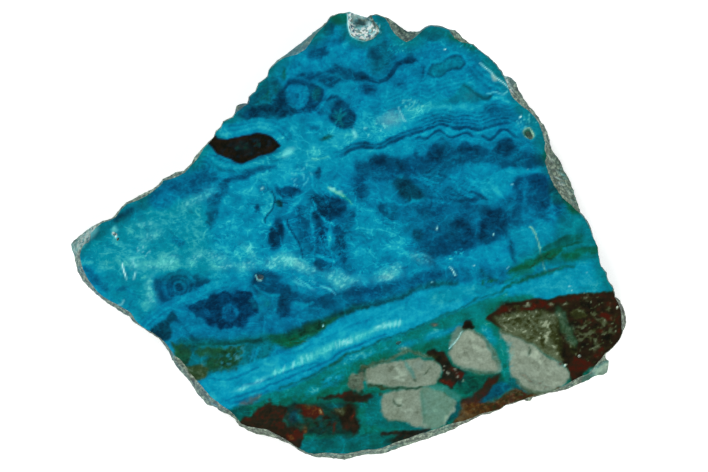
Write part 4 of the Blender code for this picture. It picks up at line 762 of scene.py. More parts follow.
def paint_quartz(face):
    """The grey quartz grains, with the rusty web, the teal veins and the healed crack between them."""
    crust = {"olive": 0.85, "iron": 0.0, "tone": 0.5}
    face.line([(2, -21.2), (6.4, -20), (9.6, -18.4), (13.4, -19.6), (14.4, -19.8)], 0.5, 0.2, 0.8, 1.2, **crust)
    face.spot(9.2, -18, 0.9, 0.3, 5, 0.25, 0.7, 1.2, olive=0.8, tone=0.7)
    for outline, green in (
        ([(16.1, -18.4), (16.9, -17.5), (17.7, -16.4), (18.2, -15.6), (18.8, -15), (19.6, -15.2), (20.6, -15.6), (21.6, -16.6), (22.4, -18), (23.2, -19.4), (23.8, -20.6), (23.6, -21.8), (22.6, -21.9), (20.8, -21.6), (19.2, -21.3), (18, -20.9), (17, -20), (16.4, -19.2)], 0.2),
        ([(2.6, -22.2), (3, -21.2), (4.4, -20.9), (6, -20.4), (8, -20.1), (9.5, -19.7), (11.2, -19.5), (12.6, -20), (13.6, -20.4), (14.6, -20.9), (14.8, -21.8), (14.2, -22.8), (13.6, -23.6), (11.6, -24), (9, -24.2), (7, -24.1), (5.2, -23.7), (3.2, -23.7)], 0.4),
        ([(5.6, -25.4), (7, -25), (8.6, -24.7), (10.6, -24.4), (12.4, -24.3), (13.6, -24.6), (15, -25.2), (16.4, -26), (17.2, -26.6), (17, -27.2), (16.4, -28.2), (15.6, -29.4), (15, -30.2), (13.6, -30.6), (12, -30.5), (10.4, -30.2), (9.2, -29.6), (7.6, -29.4), (6, -29.4), (5.4, -28.4), (5.4, -27)], 0.4),
        ([(24.2, -15.2), (26.2, -15.8), (28, -16.6), (30, -17.8), (31.6, -19), (33, -20), (34.4, -21), (35.6, -22.4), (35, -23), (33.6, -24.2), (32.6, -24.9), (31, -25), (29.4, -24.8), (28, -24), (27, -23), (26.2, -22), (26, -20.6), (25.9, -19), (25.8, -17.6), (25, -16.4)], 0.2),
        ([(0.2, -22.8), (0.8, -22.1), (1.5, -22.3), (2.3, -21.9), (2.6, -22.9), (2.2, -23.4), (2.5, -24.2), (1.7, -24.9), (1.1, -24.4), (0.4, -24.5), (-0.1, -23.6)], 0.9),
    ):
        face.area(outline, 0.26, 0.96, 1.1, quartz=0.92 - 0.3 * green, tone=0.62 - 0.4 * green, green=0.9, iron=0.0, olive=0.06, fibre=0.1)
    for x, y, long, tall, turn, size, seed in (
        (8.6, -22, 6.0, 2.2, 5, 1.6, 131), (20, -18.4, 3.6, 3.4, -40, 1.5, 132), (30.4, -21, 6.0, 3.6, -35, 1.6, 133), (9, -27, 4.0, 2.6, 20, 1.4, 134),
    ):
        face.blotches(x, y, long, tall, turn, size, 0.5, seed, tone=0.95)
        face.blotches(x, y, long, tall, turn, 0.8 * size, 0.45, seed + 5, tone=0.1)
    face.area([(11.6, -24.4), (14.2, -24.7), (17, -26.4), (16.4, -28), (15.1, -30.2), (12.8, -30.6), (11.5, -28)], 0.4, 0.9, quartz=0.36, tone=0.56, green=1.0)
    face.line([(11.6, -25), (11.9, -27.6), (12, -30)], 0.5, 0.25, 0.5, quartz=0.2, tone=0.45, green=1.0)
    face.line([(16.8, -27.4), (16, -28.8), (15.2, -30.2)], 0.4, 0.2, 0.4, 1.4, quartz=0.9, tone=0.9)
    face.line([(13.6, -24.2), (15.6, -24.7), (17.4, -25.8)], 1.0, 0.35, 0.9, quartz=0.1, tone=0.56, green=0.9)
    face.line([(22.6, -17.6), (23.8, -20), (23.8, -21.6), (20.8, -21.6), (18.2, -21)], 0.6, 0.3, 0.8, quartz=0.5, green=0.9, tone=0.5)
    face.line([(23.8, -21.9), (21, -21.8), (18.6, -21.3)], 0.35, 0.15, 0.7, quartz=0.0, **crust)
    face.line([(18.4, -15), (20.4, -15.4), (22, -16.8), (23.4, -19)], 0.3, 0.15, 0.6, quartz=0.2, **crust)
    face.line([(24.4, -15.2), (27, -16), (32, -18.8), (34.6, -20.9)], 0.5, 0.2, 0.8, quartz=0.2, **crust)
    face.line([(27, -23.4), (28.6, -24.6), (31, -25.2), (33, -24.8)], 0.5, 0.25, 0.7, quartz=0.4, **crust)
    face.blotches(26, -19.4, 0.9, 4.2, 5, 0.7, 0.7, 141, quartz=0.2, tone=0.7, green=0.5)
    for x, y, long, tall, turn, rust in ((28.8, -22.9, 0.9, 0.3, -40, 0.9), (30.9, -23.6, 0.6, 0.35, -30, 0.84), (31.9, -24.5, 0.4, 0.3, 0, 0.84), (28, -22.2, 0.5, 0.2, 0, 0.96), (29.6, -23.2, 0.5, 0.2, -20, 0.8)):
        face.spot(x, y, long, tall, turn, 0.25, 0.8, 1.6, iron=0.9, rust=rust, quartz=0.35)
    face.speckle(1.3, -23.4, 1.1, 1.2, 0, 7, 0.24, 145, 0.7, iron=0.9, rust=0.6, quartz=0.2)
    face.blotches(25.4, -17.2, 1.4, 2.8, 25, 0.6, 0.8, 146, quartz=0.3, tone=0.66, green=0.7)
    for x, y, long, tall, turn in (
        (12.6, -21.6, 0.5, 0.14, 30), (10.9, -22.9, 0.25, 0.16, 0), (10, -23.5, 0.16, 0.12, 0), (7.6, -26.5, 0.6, 0.25, -40), (8.3, -27, 0.4, 0.2, 0),
        (28.9, -18.7, 0.2, 0.5, -20), (14.2, -20.4, 0.5, 0.2, 30), (5.4, -24.1, 0.7, 0.25, -20), (5.2, -25.2, 0.4, 0.35, 0), (14.6, -19.2, 1.2, 0.5, 0),
    ):
        face.spot(x, y, long, tall, turn, 0.15, 0.65, 1.4, iron=0.9, rust=0.1, quartz=0.1, green=1.0, tone=0.2)
    face.line([(3.4, -23.9), (5.2, -24), (6.4, -24.4), (10, -24.4), (11.6, -24.1)], 0.35, 0.15, 0.85, 1.0, quartz=0.1, tone=0.14, olive=0.5)
    for x, y, long, tall, turn in ((2, -21.7, 0.5, 0.6, 0), (2.8, -21.1, 0.5, 0.3, 0), (4, -23.8, 0.6, 0.12, 0), (2.1, -23.3, 0.3, 0.9, 0), (20.2, -15.6, 0.6, 0.25, -20)):
        face.spot(x, y, long, tall, turn, 0.2, 0.6, 1.3, iron=0.9, rust=0.66)
    face.line([(8.8, -20.2), (10.8, -22.6)], 0.7, 0.25, 0.75, 1.0, 0.4, quartz=0.15, tone=0.56, green=0.85)
    face.spot(11.1, -20.6, 1.1, 0.8, 0, 0.4, 0.2, quartz=0.4, green=0.0, tone=0.7)
    face.area([(16.2, -17.6), (17, -14.8), (18, -14.6), (18.3, -15.4), (17.4, -16.8)], 0.35, 0.7, quartz=0.6, tone=0.5, green=0.8)
    face.area([(18.2, -14.8), (18.4, -13.8), (19.6, -13.7), (19.9, -14.6), (19.2, -15.1)], 0.2, 1.0, 1.3, iron=1.0, rust=0.1, quartz=0.0, tone=0.05)
    web = [(12.6, -19), (13.4, -18.2), (14.2, -18.6), (15.2, -18.5), (15.9, -19.3), (16.3, -20.2), (18.3, -21.6), (18.5, -22.4), (17.2, -23.6), (16.6, -24.3), (14.4, -23.3), (14.4, -22.8), (15, -22.2), (15, -21.2), (14.4, -20.4)]
    face.area(web, 0.22, 0.95, 1.3, iron=1.0, rust=0.14, quartz=0.0, tone=0.1, green=0.8)
    for x, y, long, tall, rust in ((15.4, -19.4, 0.6, 0.5, 0.36), (17.6, -22.3, 0.9, 0.7, 0.5), (16.1, -23.5, 0.9, 0.6, 0.54), (16.8, -21.2, 0.5, 0.4, 0.42), (14.9, -23.2, 0.5, 0.3, 0.6)):
        face.spot(x, y, long, tall, -20, 0.25, 0.9, 1.4, rust=rust)
    for x, y, size in ((15.6, -20.8, 0.16), (17.4, -22.7, 0.24), (17, -21.2, 0.2), (16, -21.7, 0.25), (15.3, -21.5, 0.14), (17.2, -22, 0.14), (18.2, -23.3, 0.2)):
        face.spot(x, y, size, 0.8 * size, 20, 0.12, 0.7, 1.2, quartz=0.9, tone=0.8)
    face.line([(16.1, -17.9), (17.3, -16.8), (18.1, -15.3)], 0.16, 0.1, 0.85, 0.6, 0.4, milk=0.9)


def paint_breccia(face):
    """The large broken piece at the lower right: sage and olive streaks on black-brown rock, with dark red patches."""
    rock = [(22, -13.2), (23.4, -12.2), (26, -10.6), (32, -10), (34, -9.5), (41.8, -8.8), (44, -8.4), (47, -10), (48, -13), (47.4, -16), (45.4, -18.4), (43, -19.5), (40.6, -19.9), (39, -21), (38.6, -23), (37.4, -24.6), (36, -23.6), (35.4, -22.1), (33.6, -19.9), (30.2, -17.6), (23.6, -14.4)]
    face.area(rock, 0.2, 1.0, 0.8, tone=0.2, green=1.0, iron=1.0, rust=0.2, quartz=0.0)
    face.blotches(38.6, -14.6, 6.4, 6.4, 0, 0.9, 0.9, 151, olive=0.75, tone=0.64)
    face.blotches(38.6, -14.6, 6.4, 6.4, 0, 0.5, 0.8, 152, rust=0.03, quartz=0.0)
    face.blotches(39.6, -14, 5.4, 5.4, 0, 0.7, 0.7, 153, rust=0.36)
    grey = [(23.2, -13.6), (26, -12.2), (29, -12), (32, -12.2), (33.4, -13.2), (33.6, -17), (33.8, -19.4), (32, -18.5), (27.6, -16.1)]
    face.area(grey, 0.5, 0.95, 1.2, iron=0.9, rust=0.3, tone=0.55, olive=0.75, quartz=0.0)
    face.streaks(29, -14.6, 6, 2.6, -34, 0.7, 0.9, 154, 3.0, olive=0.9, tone=0.78)
    face.streaks(29, -14.6, 6, 2.6, -34, 0.6, 0.9, 155, 3.0, olive=0.9, tone=0.24)
    for x, y, long, tall, turn, tone in (
        (27.2, -14, 2.2, 0.45, -22, 0.3), (29.4, -15.2, 1.6, 0.5, -38, 0.32), (25.2, -13.9, 1.4, 0.25, -25, 0.45),
        (30.8, -16.6, 1.0, 0.35, -40, 0.3), (32.6, -15.6, 0.5, 1.3, 10, 0.25), (33.6, -17.2, 0.6, 1.8, 10, 0.12),
        (33.4, -13.8, 0.4, 1.2, 10, 0.4), (29.8, -13.4, 1.0, 0.3, -20, 0.42), (35.9, -18.3, 0.6, 0.6, 0, 0.1),
    ):
        face.spot(x, y, long, tall, turn, 0.3, 0.85, 1.5, iron=1.0, rust=0.12, olive=0.8, tone=tone)
    face.line([(24.6, -14.9), (27, -15.6), (31.6, -18.1), (33.8, -19.9)], 1.0, 0.35, 0.8, 1.4, olive=0.9, tone=0.58)
    for x, y, long, tall, turn, tone in (
        (25.6, -12.8, 1.2, 0.35, -15, 0.5), (26.6, -13.2, 0.8, 0.25, 10, 0.8), (28, -13, 0.9, 0.25, -10, 0.4), (28, -15.7, 1.5, 0.3, -25, 0.6),
        (29.6, -16.4, 0.9, 0.25, -30, 0.4), (31.2, -14.1, 1.1, 0.4, -45, 1.0), (31.8, -16.2, 0.22, 0.9, -5, 1.0), (33, -17.5, 0.4, 0.25, 0, 1.0),
        (33, -18.6, 0.4, 0.3, -40, 0.6), (30.2, -14, 0.7, 0.15, -30, 0.8), (31.9, -15, 0.3, 0.5, 0, 0.7), (27.6, -14.7, 0.9, 0.1, -20, 0.5),
        (28.4, -11.1, 0.5, 0.3, 0, 1.0), (32.3, -10.9, 0.4, 0.45, -30, 0.9), (34.6, -10.5, 0.7, 0.2, 15, 0.9), (26.8, -11.3, 0.5, 0.2, 0, 0.4),
        (38.2, -9.8, 0.25, 0.2, 0, 1.0), (41.7, -11.4, 0.2, 0.5, 0, 0.5), (42.2, -13.3, 0.3, 0.2, 0, 0.6), (41, -13.9, 0.6, 0.12, -20, 0.5),
        (37.4, -15.6, 0.9, 0.2, -15, 0.7), (38.6, -16.6, 0.4, 0.2, -60, 0.7), (40, -17.6, 0.5, 0.15, 10, 0.8), (38.2, -14, 0.5, 0.15, 20, 0.4),
        (36, -12, 0.6, 0.25, 10, 0.5), (37, -11.7, 0.6, 0.3, 0, 0.6), (36.8, -12.6, 1.1, 0.6, 0, 0.3), (39.4, -15, 0.5, 0.2, 30, 0.3),
    ):
        face.spot(x, y, long, tall, turn, 0.2, 0.75, 1.6, olive=0.95, tone=tone)
    face.speckle(38.6, -14.6, 5.8, 5.6, 0, 70, 0.16, 157, 0.8, olive=0.95, tone=0.8)
    face.speckle(29.4, -13.8, 5.4, 2.6, -25, 50, 0.2, 158, 0.6, olive=0.9, tone=0.2)
    face.speckle(29.4, -13.8, 5.4, 2.6, -25, 50, 0.16, 159, 0.6, olive=0.9, tone=0.95)
    crest = [(23.6, -12.2), (25, -11.3), (28, -10.7), (31, -10.6), (35, -9.9), (39, -9.6), (42, -9.6), (44.4, -11)]
    face.line(crest, 0.6, 0.35, 0.5, 2.2, iron=1.0, rust=0.46, olive=0.0)
    streak = [(33.5, -11.8), (36.2, -17.2)]
    face.line(streak, 1.4, 0.6, 0.8, 1.8, 0.3, iron=0.2, tone=0.5, olive=0.82)
    for x, y, long, tall, turn, rust in (
        (25.2, -11.8, 1.2, 0.4, 35, 0.5), (29.2, -11.5, 1.6, 0.4, 5, 0.52), (31.4, -11.2, 0.9, 0.35, 0, 0.54), (31, -10.8, 0.4, 0.25, 0, 0.5),
        (33.6, -10.2, 0.7, 0.2, 0, 0.42), (36.4, -10, 0.9, 0.25, 0, 0.42), (23.4, -12.7, 1.0, 0.2, 30, 0.4), (41.1, -13, 1.1, 0.65, -5, 0.54),
        (39, -13.7, 0.8, 0.3, 0, 0.42), (40.4, -15, 0.8, 0.2, 20, 0.4), (43.3, -13.6, 0.4, 2.2, 0, 0.4), (37, -20.4, 1.8, 1.2, 0, 0.44),
        (35.6, -21.4, 0.9, 0.5, -50, 0.4), (40, -18.7, 1.1, 0.5, 30, 0.42), (42, -10.8, 0.8, 0.5, 0, 0.38), (33.6, -20.6, 0.4, 0.3, 0, 0.6),
    ):
        face.spot(x, y, long, tall, turn, 0.3, 0.9, 1.5, iron=1.0, quartz=0.0, olive=0.0, rust=rust)
    for x, y, long, tall in ((26, -10.9, 1.2, 0.25), (36.3, -14.4, 0.7, 0.5), (38, -10.8, 0.9, 0.4), (41.2, -16.2, 0.8, 0.5), (37.8, -17.4, 0.6, 0.4), (34.4, -18.9, 0.4, 0.7), (34.4, -20.3, 0.4, 0.3)):
        face.spot(x, y, long, tall, 0, 0.3, 0.85, 1.5, iron=1.0, rust=0.0, quartz=0.0, olive=0.0)
    for x, y, long in ((36.9, -19.2, 0.16), (34.6, -20.7, 0.22), (43, -11.4, 0.14)):
        face.spot(x, y, long, 0.14, 30, 0.1, 0.9, 0.2, milk=1.0)
    chip = [(37.4, -22), (40.4, -20.2), (42.6, -19.4), (44, -22.6), (39, -25)]
    face.area(chip, 0.25, 0.95, iron=0.0, olive=0.0, tone=0.28, green=0.9, bare=1.0)
    face.area([(38.8, -21.6), (40.4, -20.7), (42.8, -19.5), (43.6, -21.6), (41, -23.4)], 0.4, 0.7, quartz=0.75, tone=0.95)
    face.spot(41.3, -20.9, 1.0, 0.5, 30, 0.3, 0.9, tone=0.98, green=0.7, olive=0.7, milk=0.1)


PAINTERS = (
    paint_ground,
    paint_top,
    paint_chip,
    paint_lens,
    paint_left,
    paint_heart,
    paint_pools,
    paint_wedge,
    paint_belts,
    paint_right,
    paint_streaks,
    paint_agate,
    paint_clouds,
    paint_gangue,
    paint_ironstone,
    paint_quartz,
    paint_breccia,
)


def mottle(face):
    """Roughens the drawing's even places with cloudy and fibrous changes of tone."""
    x, y = face.wx, face.wy
    fibres = clouds(x * 0.97 + y * 0.24, (y * 0.97 - x * 0.24) * 3.0, 2.2, 201)
    face.tone += 0.15 * clouds(x, y, 2.6, 202) + 0.10 * fibres + 0.08 * clouds(x, y, 0.7, 203, 2)
    face.green += 0.12 * clouds(x, y, 4.0, 204)


def painted(x, y):
    """The whole drawing at the given places, in millimetres."""
    face = Face(x, y)
    for paint in PAINTERS:
        paint(face)
    mottle(face)
    return face


class ChrysocollaSizes(bpy.types.PropertyGroup):
    """The sizes of the slab's fine surface."""

    face_pitch: length_property("Face pitch", "Distance between points of the polished face", 0.00022)
    back_pitch: length_property("Back pitch", "Distance between points of the sawn back", 0.0015)
    polish_depth: length_property("Polish depth", "How far the face and back lie inside the solid's", 0.00002)
    nick_size: length_property("Nick size", "Length of the small nicks in the polished edge", 0.0007)
    nick_depth: length_property("Nick depth", "Depth of the small nicks in the polished edge", 0.00016)
    crust_size: length_property("Crust lump size", "Size of the lumps on the broken rim", 0.0011)
    crust_height: length_property("Crust lump height", "Height of the lumps on the broken rim", 0.00030)
    camera_height: length_property("Camera height", "Height of the camera over the polished face", 0.47)


class ChrysocollaColours(bpy.types.PropertyGroup):
    """The colours of the stone's minerals and of the table."""

    navy: colour_property("Navy", "Deepest pools of chrysocolla", (0, 38, 66))
    deep: colour_property("Deep blue", "Dark bands and pools", (0, 74, 112))
    mid: colour_property("Blue", "Most of the chrysocolla", (0, 116, 156))
    bright: colour_property("Bright blue", "Open turquoise-blue places", (0, 150, 182))
    pale: colour_property("Pale turquoise", "Cloudy pale places", (12, 172, 190))
    ice: colour_property("Ice", "The palest streaks", (74, 206, 214))
    forest: colour_property("Forest green", "Darkest malachite", (6, 48, 34))
    malachite: colour_property("Malachite", "Green streaks", (4, 92, 62))
    teal: colour_property("Teal", "Green-blue edges", (0, 126, 112))
    mint: colour_property("Mint", "Palest green", (110, 200, 160))
    ironstone: colour_property("Ironstone", "Black-brown ironstone", (12, 15, 8))
    umber: colour_property("Umber", "Brown ironstone", (38, 27, 15))
    rust: colour_property("Rust", "Red-brown iron oxide", (68, 18, 8))
    ochre: colour_property("Ochre", "Orange-brown iron oxide", (104, 66, 24))
    sand: colour_property("Sand", "Tan grains", (172, 158, 116))
    quartz_grey: colour_property("Quartz grey", "Darker quartz", (88, 98, 82))
    quartz_pale: colour_property("Pale quartz", "Paler quartz", (176, 184, 164))
    olive_black: colour_property("Olive black", "Darkest olive crust", (18, 22, 8))
    olive: colour_property("Olive", "Olive crust", (52, 60, 26))
    sage: colour_property("Sage", "Grey-green crust", (92, 106, 78))
    pale_sage: colour_property("Pale sage", "Palest grey-green streaks", (180, 194, 164))
    haze: colour_property("Haze", "Thin white haze, tinted by the stone", (116, 208, 214))
    milk: colour_property("Milk", "Healed cracks and white specks", (216, 244, 240))
    # The brightest of the painted glints on the crystal facets of the rim.
    crystal: colour_property("Crystal white", "Fresh crystals in the chipped edge", (240, 246, 242))
    crust_pale: colour_property("Crust white", "Bright crystals of the rim", (184, 206, 180))
    crust_grey: colour_property("Crust grey", "Weathered rim", (106, 128, 108))
    crust_dark: colour_property("Crust shade", "Duller parts of the rim", (66, 88, 72))
    # The darkest spots of the crust's mottle; also mixed a quarter over the whole rim as painted shade.
    crust_hollow_and_shade: colour_property("Crust hollows", "Dark hollows of the rim", (30, 42, 36))
    table: colour_property("Table", "The pale table", (244, 244, 244))


def settings():
    return bpy.context.scene.chrysocolla_sizes, bpy.context.scene.chrysocolla_colours


# Node trees, written as short calls.


class Tree:
    """A new material and short ways to add and link its nodes."""

    def __init__(self, name):
        self.material = bpy.data.materials.new(name)
        self.material.use_nodes = True
        self.nodes, self.links = self.material.node_tree.nodes, self.material.node_tree.links
        self.shader = self.nodes["Principled BSDF"]

    def put(self, socket, value):
        """Links a socket, or sets the value on it."""
        if isinstance(value, bpy.types.NodeSocket):
            self.links.new(value, socket)
        else:
            socket.default_value = value

    def node(self, kind, output, options=(), **inputs):
        made = self.nodes.new("ShaderNode" + kind)
        for name, value in dict(options).items():
            setattr(made, name, value)
        for name, value in inputs.items():
            self.put(made.inputs[name.replace("_", " ")], value)
        return made.outputs[output]

    def field(self, name):
        """What the mesh holds under that name, from 0 to 1."""
        return self.node("Attribute", "Fac", {"attribute_name": name})

    def places(self, stretch=(1, 1, 1), turn=0.0):
        """Object coordinates, stretched along the slab's axes after a turn in degrees."""
        coordinates = self.node("TexCoord", "Object")
        return self.node(
            "Mapping", "Vector", {}, Vector=coordinates, Rotation=(0, 0, math.radians(turn)), Scale=stretch
        )

    def noise(self, size, detail=3.0, rough=0.55, places=None, **more):
        """Noise from 0 to 1, with lumps of the given size in metres."""
        at = places or self.places()
        return self.node("TexNoise", "Fac", {}, Vector=at, Scale=1 / size, Detail=detail, Roughness=rough, **more)

    def math(self, operation, first, second=0.0, clamp=False):
        made = self.nodes.new("ShaderNodeMath")
        made.operation, made.use_clamp = operation, clamp
        self.put(made.inputs[0], first)
        self.put(made.inputs[1], second)
        return made.outputs[0]

    def mix(self, share, first, second):
        made = self.nodes.new("ShaderNodeMix")
        made.data_type = "RGBA"
        for index, value in ((0, share), (6, first), (7, second)):
            if not isinstance(value, bpy.types.NodeSocket) and index:
                value = (*value, 1.0)
            self.put(made.inputs[index], value)
        return made.outputs[2]

    def ramp(self, value, *stops):
        """A colour for each value between stops of (place, colour)."""
        made = self.nodes.new("ShaderNodeValToRGB")
        elements = made.color_ramp.elements
        while len(elements) < len(stops):
            elements.new(0.5)
        for element, (place, colour) in zip(elements, stops):
            element.position = place
            element.color = (*colour, 1.0)
        self.put(made.inputs["Fac"], value)
        return made.outputs["Color"]

    def step(self, value, low, high):
        """0 below low and 1 above high, straight between them."""
        made = self.node("MapRange", "Result", {"clamp": True}, Value=value)
        inputs = made.node.inputs
        inputs["From Min"].default_value, inputs["From Max"].default_value = low, high
        return made


def threads(tree, size, turn):
    """Thin curved lines, broken here and there: 1 on the lines and 0 between them."""
    places = tree.places((1.0, 1.9, 1.0), turn)
    hills = tree.noise(size, 3.0, 0.5, places, Distortion=0.7)
    height = tree.math("ABSOLUTE", tree.math("SUBTRACT", hills, 0.5))
    line = tree.step(height, 0.028, 0.0)
    gaps = tree.step(tree.noise(size * 0.8, 1.0, 0.5, places), 0.46, 0.6)
    return tree.math("MULTIPLY", line, gaps)


def cells(tree, size, turn):
    """How far it is to the nearest wall between uneven cells, in shares of their size."""
    places = tree.places((1.0, 1.3, 1.0), turn)
    drift = tree.node("TexNoise", "Color", {}, Vector=places, Scale=0.9 / size, Detail=4.0)
    bent = tree.mix(0.9 * size, places, drift)
    return tree.node("TexVoronoi", "Distance", {"feature": "DISTANCE_TO_EDGE"}, Vector=bent, Scale=1 / size)


def stone_colour(tree, colours):
    """The stone's own colour at a place: chrysocolla, malachite, ironstone, quartz and milk, each with its grain."""
    clouding = tree.noise(0.0016, 5.0, 0.6)
    grains = tree.noise(0.0004, 3.0, 0.6)
    pale = tree.math("MAXIMUM", threads(tree, 0.0034, 24.0), threads(tree, 0.0026, -38.0))
    walls = cells(tree, 0.0038, 20.0)
    seams = tree.math("MULTIPLY", tree.step(walls, 0.07, 0.0), tree.step(clouding, 0.42, 0.6))
    pale = tree.math("MAXIMUM", pale, seams)
    dark = tree.math("MAXIMUM", threads(tree, 0.0042, -8.0), tree.step(walls, 0.16, 0.5))
    stir = tree.math("MULTIPLY", tree.math("SUBTRACT", clouding, 0.5), 0.34)
    stir = tree.math("ADD", stir, tree.math("MULTIPLY", tree.math("SUBTRACT", grains, 0.5), 0.15))
    stir = tree.math("ADD", stir, tree.math("MULTIPLY", tree.math("MULTIPLY", pale, tree.field("fibre")), 0.25))
    stir = tree.math("SUBTRACT", stir, tree.math("MULTIPLY", tree.math("MULTIPLY", dark, tree.field("fibre")), 0.16))
    tone = tree.math("ADD", tree.field("tone"), stir)
    blue = tree.ramp(
        tone,
        (0.0, colours.navy),
        (0.22, colours.deep),
        (0.46, colours.mid),
        (0.68, colours.bright),
        (0.86, colours.pale),
        (1.0, colours.ice),
    )
    green = tree.ramp(
        tone, (0.0, colours.forest), (0.3, colours.malachite), (0.62, colours.teal), (0.95, colours.mint)
    )
    colour = tree.mix(tree.field("green"), blue, green)
    lumps = tree.noise(0.0010, 6.0, 0.68)
    flecks = tree.math("SUBTRACT", lumps, 0.5)
    rust = tree.math("ADD", tree.field("rust"), tree.math("MULTIPLY", flecks, 0.8))
    iron = tree.ramp(
        rust,
        (0.0, colours.ironstone),
        (0.3, colours.umber),
        (0.53, colours.rust),
        (0.74, colours.ochre),
        (1.0, colours.sand),
    )
    colour = tree.mix(tree.field("iron"), colour, iron)
    sugar = tree.math("ADD", tone, tree.math("MULTIPLY", tree.math("SUBTRACT", grains, 0.5), 0.3))
    quartz = tree.ramp(sugar, (0.1, colours.quartz_grey), (0.9, colours.quartz_pale))
    colour = tree.mix(tree.field("quartz"), colour, quartz)
    crumbs = tree.math("ADD", tone, tree.math("MULTIPLY", flecks, 0.8))
    olive = tree.ramp(
        crumbs, (0.0, colours.olive_black), (0.35, colours.olive), (0.65, colours.sage), (1.0, colours.pale_sage)
    )
    colour = tree.mix(tree.field("olive"), colour, olive)
    haze = tree.mix(tree.math("MAXIMUM", tree.field("iron"), tree.field("quartz")), colours.haze, colours.pale_sage)
    colour = tree.mix(tree.step(tree.field("milk"), 0.0, 0.6), colour, haze)
    return tree.mix(tree.step(tree.field("milk"), 0.35, 0.85), colour, colours.milk)


def polished_material(colours):
    """Mirror-polished stone."""
    tree = Tree("polished_chrysocolla")
    tree.put(tree.shader.inputs["Base Color"], stone_colour(tree, colours))
    wear = tree.noise(0.006, 4.0)
    tree.put(tree.shader.inputs["Roughness"], tree.math("MULTIPLY", wear, 0.3))
    tree.shader.inputs["Specular IOR Level"].default_value = 0.2
    return tree.material


def rim_material(colours):
    """Weathered grey-green crust with dark hollows, through which the stone's own colour shows in places. The whole rim
    is darkened by a quarter as painted shade, and the white crystals on its upper part get painted glints.
    """
    tree = Tree("broken_rim")
    stone = stone_colour(tree, colours)
    lumps = tree.noise(0.0006, 6.0, 0.72, tree.places((1.0, 1.0, 0.4)))
    crust = tree.ramp(
        lumps,
        (0.37, colours.crust_hollow_and_shade),
        (0.45, colours.crust_dark),
        (0.52, colours.crust_grey),
        (0.63, colours.crust_pale),
    )
    patches = tree.noise(0.0024, 4.0)
    worn = tree.math("MULTIPLY", tree.step(patches, 0.54, 0.64), 0.6)
    shown = tree.math("MULTIPLY", tree.field("bare"), tree.step(patches, 0.3, 0.5))
    bare = tree.math("MAXIMUM", worn, tree.math("MAXIMUM", shown, 0.2))
    # Painted shade: the whole rim is mixed a quarter of the way to the hollow colour, to offset the light that the
    # glowing table throws on it.
    colour = tree.mix(0.25, tree.mix(bare, crust, stone), colours.crust_hollow_and_shade)
    # Painted glints and shade: where the milk lies on the upper rim, random facets run from dark blue to white, as if
    # some crystals caught the light and others lay in shade.
    facets = tree.node("TexVoronoi", "Color", {}, Vector=tree.places(), Scale=1 / 0.0004)
    crystals = tree.ramp(
        facets, (0.22, colours.deep), (0.36, colours.crust_grey), (0.46, colours.haze), (0.6, colours.crystal)
    )
    height = tree.node("SeparateXYZ", "Z", {}, Vector=tree.places())
    glitter = tree.math("MULTIPLY", tree.field("milk"), tree.step(height, 0.6 * THICKNESS, 0.8 * THICKNESS))
    tree.put(tree.shader.inputs["Base Color"], tree.mix(glitter, colour, crystals))
    tree.shader.inputs["Roughness"].default_value = 0.7
    return tree.material


def back_material(colours):
    """Sawn stone, matt and dusty, with the saw's fine marks."""
    tree = Tree("sawn_back")
    stone = stone_colour(tree, colours)
    tree.put(tree.shader.inputs["Base Color"], tree.mix(0.4, stone, colours.pale_sage))
    tree.shader.inputs["Roughness"].default_value = 0.8
    marks = tree.noise(0.0007, 2.0, 0.5, tree.places((0.04, 1.0, 1.0), 12.0))
    bump = tree.node("Bump", "Normal", {}, Strength=0.25, Distance=0.0001, Height=marks)
    tree.put(tree.shader.inputs["Normal"], bump)
    return tree.material


# Modelling.


def only(obj):
    """Selects that object and nothing else."""
    bpy.ops.object.select_all(action="DESELECT")
    obj.select_set(True)
    bpy.context.view_layer.objects.active = obj


def in_edit_mode(obj, *steps):
    """Runs operators on the object's mesh in edit mode, each as (operator, settings)."""
    only(obj)
    bpy.ops.object.mode_set(mode="EDIT")
    for operator, options in steps:
        operator(**options)
    bpy.ops.object.mode_set(mode="OBJECT")


def select_faces(obj, chosen):
    """Selects the faces that the list of true and false names."""
    mesh = obj.data
    only(obj)
    bpy.context.tool_settings.mesh_select_mode = (False, False, True)
    mesh.vertices.foreach_set("select", np.zeros(len(mesh.vertices), bool))
    mesh.edges.foreach_set("select", np.zeros(len(mesh.edges), bool))
    mesh.polygons.foreach_set("select", chosen)


def read(elements, name, width):
    values = np.empty(len(elements) * width, np.float32)
    elements.foreach_get(name, values)
    return values.reshape(-1, width) if width > 1 else values


def slab_copy(name):
    """The solid slab as a piece of its own, with its triangles joined at their corners."""
    piece = bpy.data.objects.new(name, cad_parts[NODE].data.copy())
    bpy.context.scene.collection.objects.link(piece)
    piece.data.materials.clear()
    ops = bpy.ops.mesh
    in_edit_mode(
        piece, (ops.select_all, {"action": "SELECT"}), (ops.remove_doubles, {"threshold": 1e-6})
    )
    return piece


def apply(obj, kind, **options):
    """Adds a modifier with the given settings and applies it."""
    only(obj)
    modifier = obj.modifiers.new(kind.lower(), kind)
    for name, value in options.items():
        setattr(modifier, name, value)
    bpy.ops.object.modifier_apply(modifier=modifier.name)


def refine_rim(piece):
    """Cuts the rim's triangles small enough to carry lumps."""
    normals = read(piece.data.polygons, "normal", 3)
    select_faces(piece, np.abs(normals[:, 2]) < 0.999)
    in_edit_mode(piece, (bpy.ops.mesh.subdivide, {"number_cuts": 1}))


def lump_texture(name, kind, size):
    texture = bpy.data.textures.new(name, kind)
    texture.noise_scale = size
    return texture


